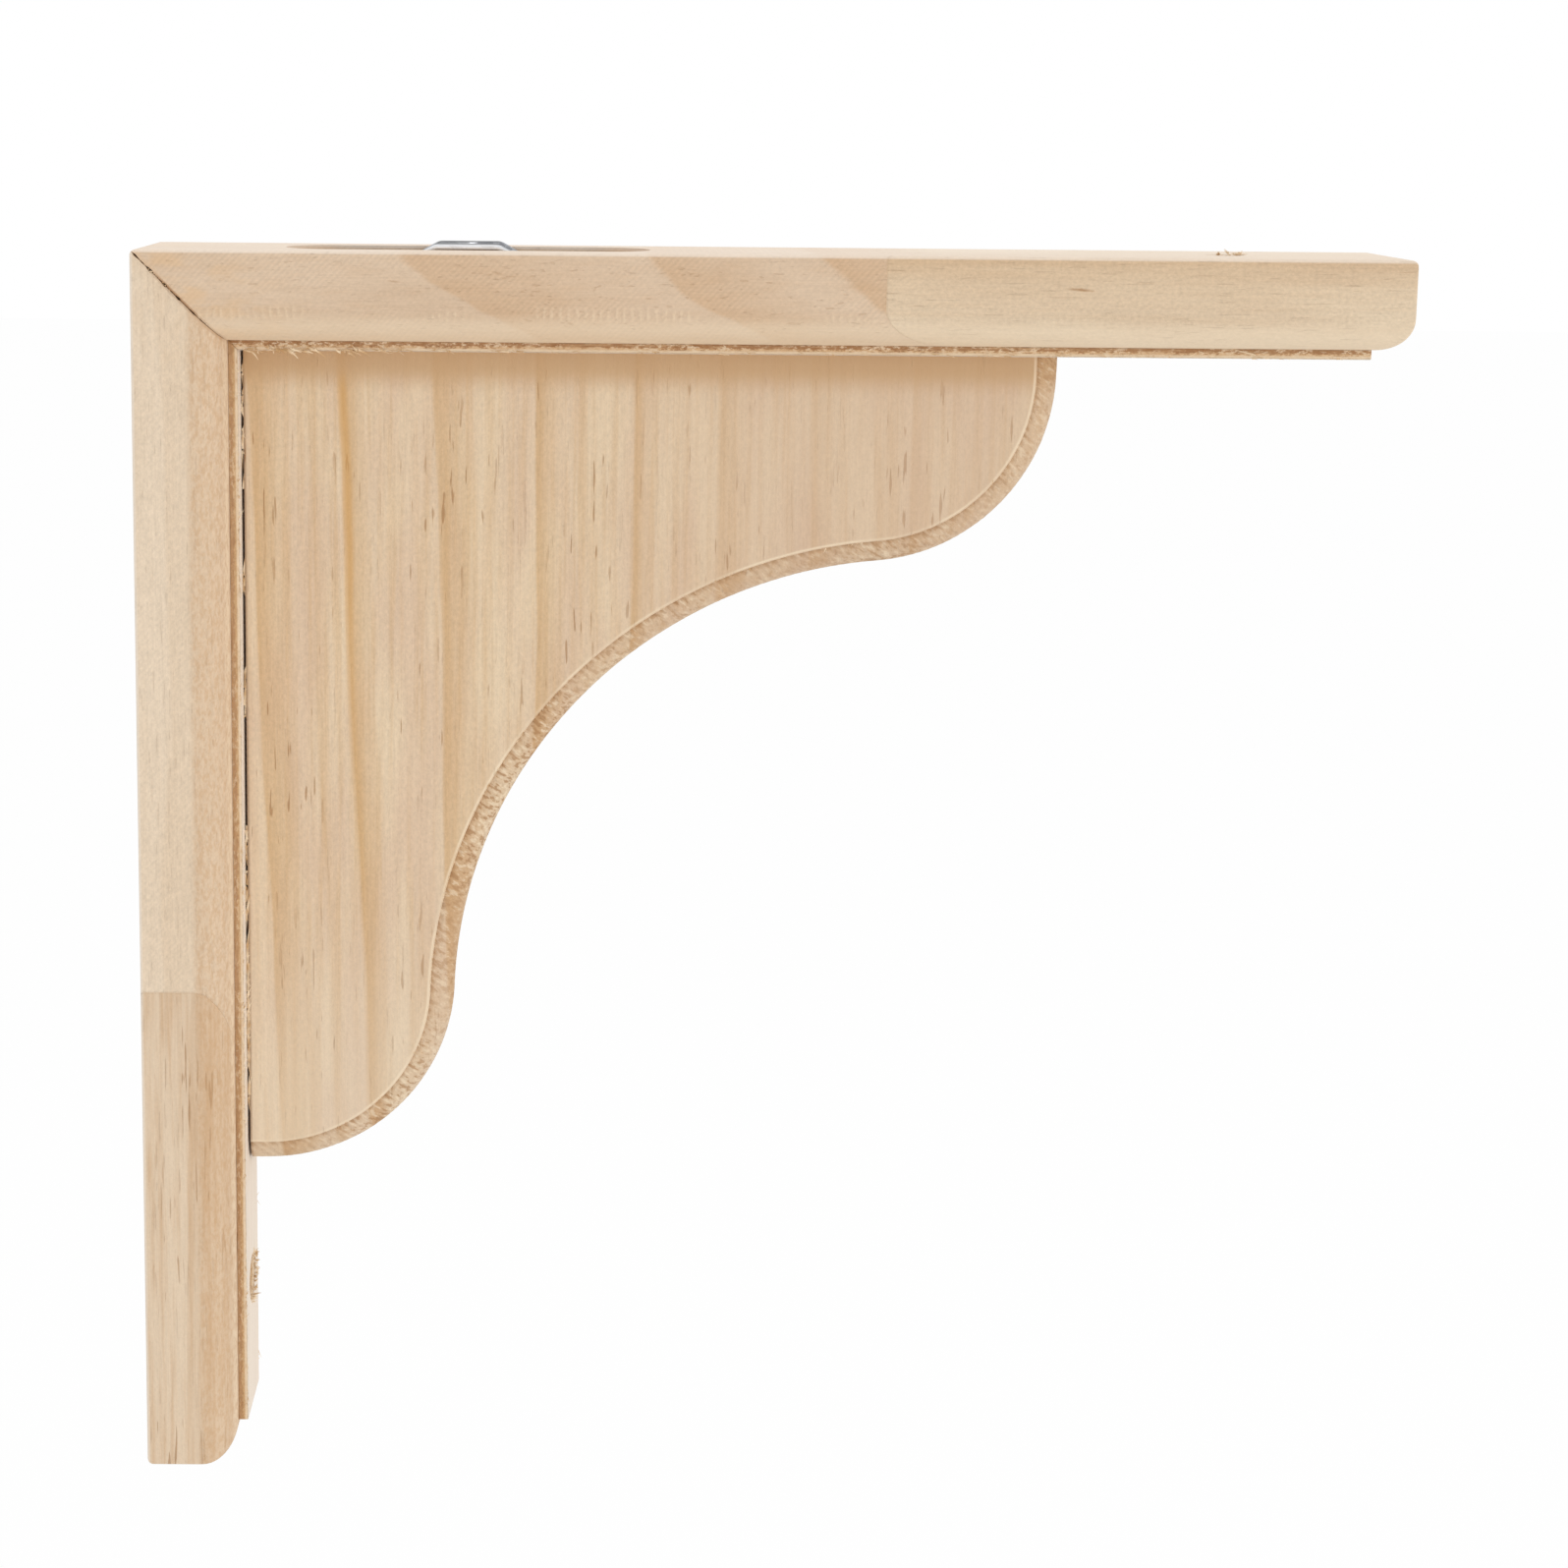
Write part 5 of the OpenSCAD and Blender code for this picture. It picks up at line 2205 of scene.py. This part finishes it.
def web_finish() -> WebFinish:
    """Wood of the web: straight upright rings about 15 mm apart, with short resin streaks.

    Returns:
        The finish.
    """
    board = PineBoard(light=srgb(224, 201, 170), warm=srgb(214, 186, 158), late=srgb(200, 160, 110),
                      streak=0.4, streak_size=(45.0, 1.5, 1.5), pores=0.65, pore_size=(6.0, 0.6, 0.9),
                      pore_limit=0.665, ring_strength=0.85, speckle=0.34, flame=0.85, seed=5.0)
    rings = (GrowthRing(16.6, 6.5, 0.8), GrowthRing(26.0, 2.2, 0.4), GrowthRing(31.6, 4.0, 1.0),
             GrowthRing(47.4, 7.0, 0.75), GrowthRing(63.2, 4.2, 0.75), GrowthRing(78.6, 2.8, 0.7),
             GrowthRing(92.2, 4.5, 0.6), GrowthRing(107.0, 4.5, 0.3), GrowthRing(123.5, 1.8, 0.45))
    return WebFinish(board, rings)


def fibre_rows(web: RoutedWeb) -> list[FibreRow]:
    """Where fibres were lifted: both steps, the web's ridges and the rims of the screw holes.

    Args:
        web: the web, for its edge.

    Returns:
        The rows.
    """
    rows = []
    for side, label in ((-1, "front"), (1, "back")):
        y = side * 7.5
        rows += [
            FibreRow(f"shelf_step_fibres_{label}", [(17.0, y, 84.2), (60.0, y, 84.2)], ALONG_X, 260,
                     length=2.4, spread=0.5, sideways=0.14, seed=10 + side),
            FibreRow(f"shelf_far_fibres_{label}", [(60.0, y, 84.2), (194.0, y, 84.2)], ALONG_X, 240,
                     length=1.8, spread=0.3, seed=14 + side),
            FibreRow(f"leg_step_fibres_{label}", [(15.8, y, 82.0), (15.8, y, -92.0)], UPRIGHT, 340,
                     length=1.8, spread=0.45, seed=20 + side)]
        path = np.array([(x, side * 4.4, z) for x, _, z in web.edge_path()[4:-4]])
        step = np.gradient(path, axis=0)
        inward = np.stack([step[:, 2], np.zeros(len(step)), -step[:, 0]], axis=1)
        inward /= np.linalg.norm(inward, axis=1)[:, None]
        rows.append(FibreRow(f"web_ridge_fibres_{label}", (path + inward * 3.85).tolist(), UPRIGHT, 260,
                             spread=0.45, sideways=0.1, seed=30 + side))
    rows += [
        FibreRow("mitre_fibres", [(3.0, -13.3, 97.0), (12.5, -13.3, 87.5)], (1, 0, 0.3), 60,
                 spread=0.4, seed=5),
        FibreRow("shelf_tufts", [(18.0, -7.65, 84.05), (38.0, -7.65, 84.05)], (1, 0, -0.3), 70,
                 length=2.6, spread=0.4, sideways=0.3, thick=2.4, seed=3),
        FibreRow("web_joint_fibres", [(16.2, -4.4, 83.0), (16.2, -4.4, -50.0)], UPRIGHT, 420,
                 length=3.6, spread=0.05, thick=2.0, seed=6),
        FibreRow("web_foot_fibres", [(16.2, -4.45, -8.0), (16.2, -4.45, -50.5)], UPRIGHT, 300,
                 length=4.0, spread=0.04, thick=2.2, seed=8),
        FibreRow("shelf_splinter", [(176.0, -7.6, 84.7), (177.0, -7.6, 84.5)], (1, 0, -0.25), 6,
                 length=4.2, spread=0.1, sideways=0.15, seed=4)]
    circle = [(math.cos(math.tau * step / 40), math.sin(math.tau * step / 40)) for step in range(40)]
    leg_ring = [(16.0, 4.0 * a, -73.0 + 4.0 * b) for a, b in circle]
    arm_ring = [(173.0 + 3.1 * a, 3.1 * b, 99.95) for a, b in circle]
    for name, ring, grain, seed in (("leg_sink_fibres", leg_ring, UPRIGHT, 40),
                                    ("arm_exit_fibres", arm_ring, ALONG_X, 41)):
        rows.append(FibreRow(name, ring, grain, 160, length=1.2, spread=0.7, sideways=0.3, closed=True,
                             thick=2.0, seed=seed))
    return rows


def main() -> None:
    """Builds the bracket piece by piece, then the studio."""
    logging.basicConfig(level=logging.INFO, format="%(name)s %(message)s")
    cad_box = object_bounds()
    RoutedArm(Place.SHELF, shelf_finish(), seed=4).build()
    RoutedArm(Place.WALL, leg_finish(), seed=6).build()
    web = RoutedWeb(web_finish())
    web.build()
    zinc = ZincFinish()
    KeyholePlate(zinc).build()
    PlateScrews(zinc).build()
    LiftedFibres(FibreFinish(), cad_box, fibre_rows(web)).build()
    Studio().build()
    bpy.context.view_layer.update()


if __name__ == "__main__":
    main()
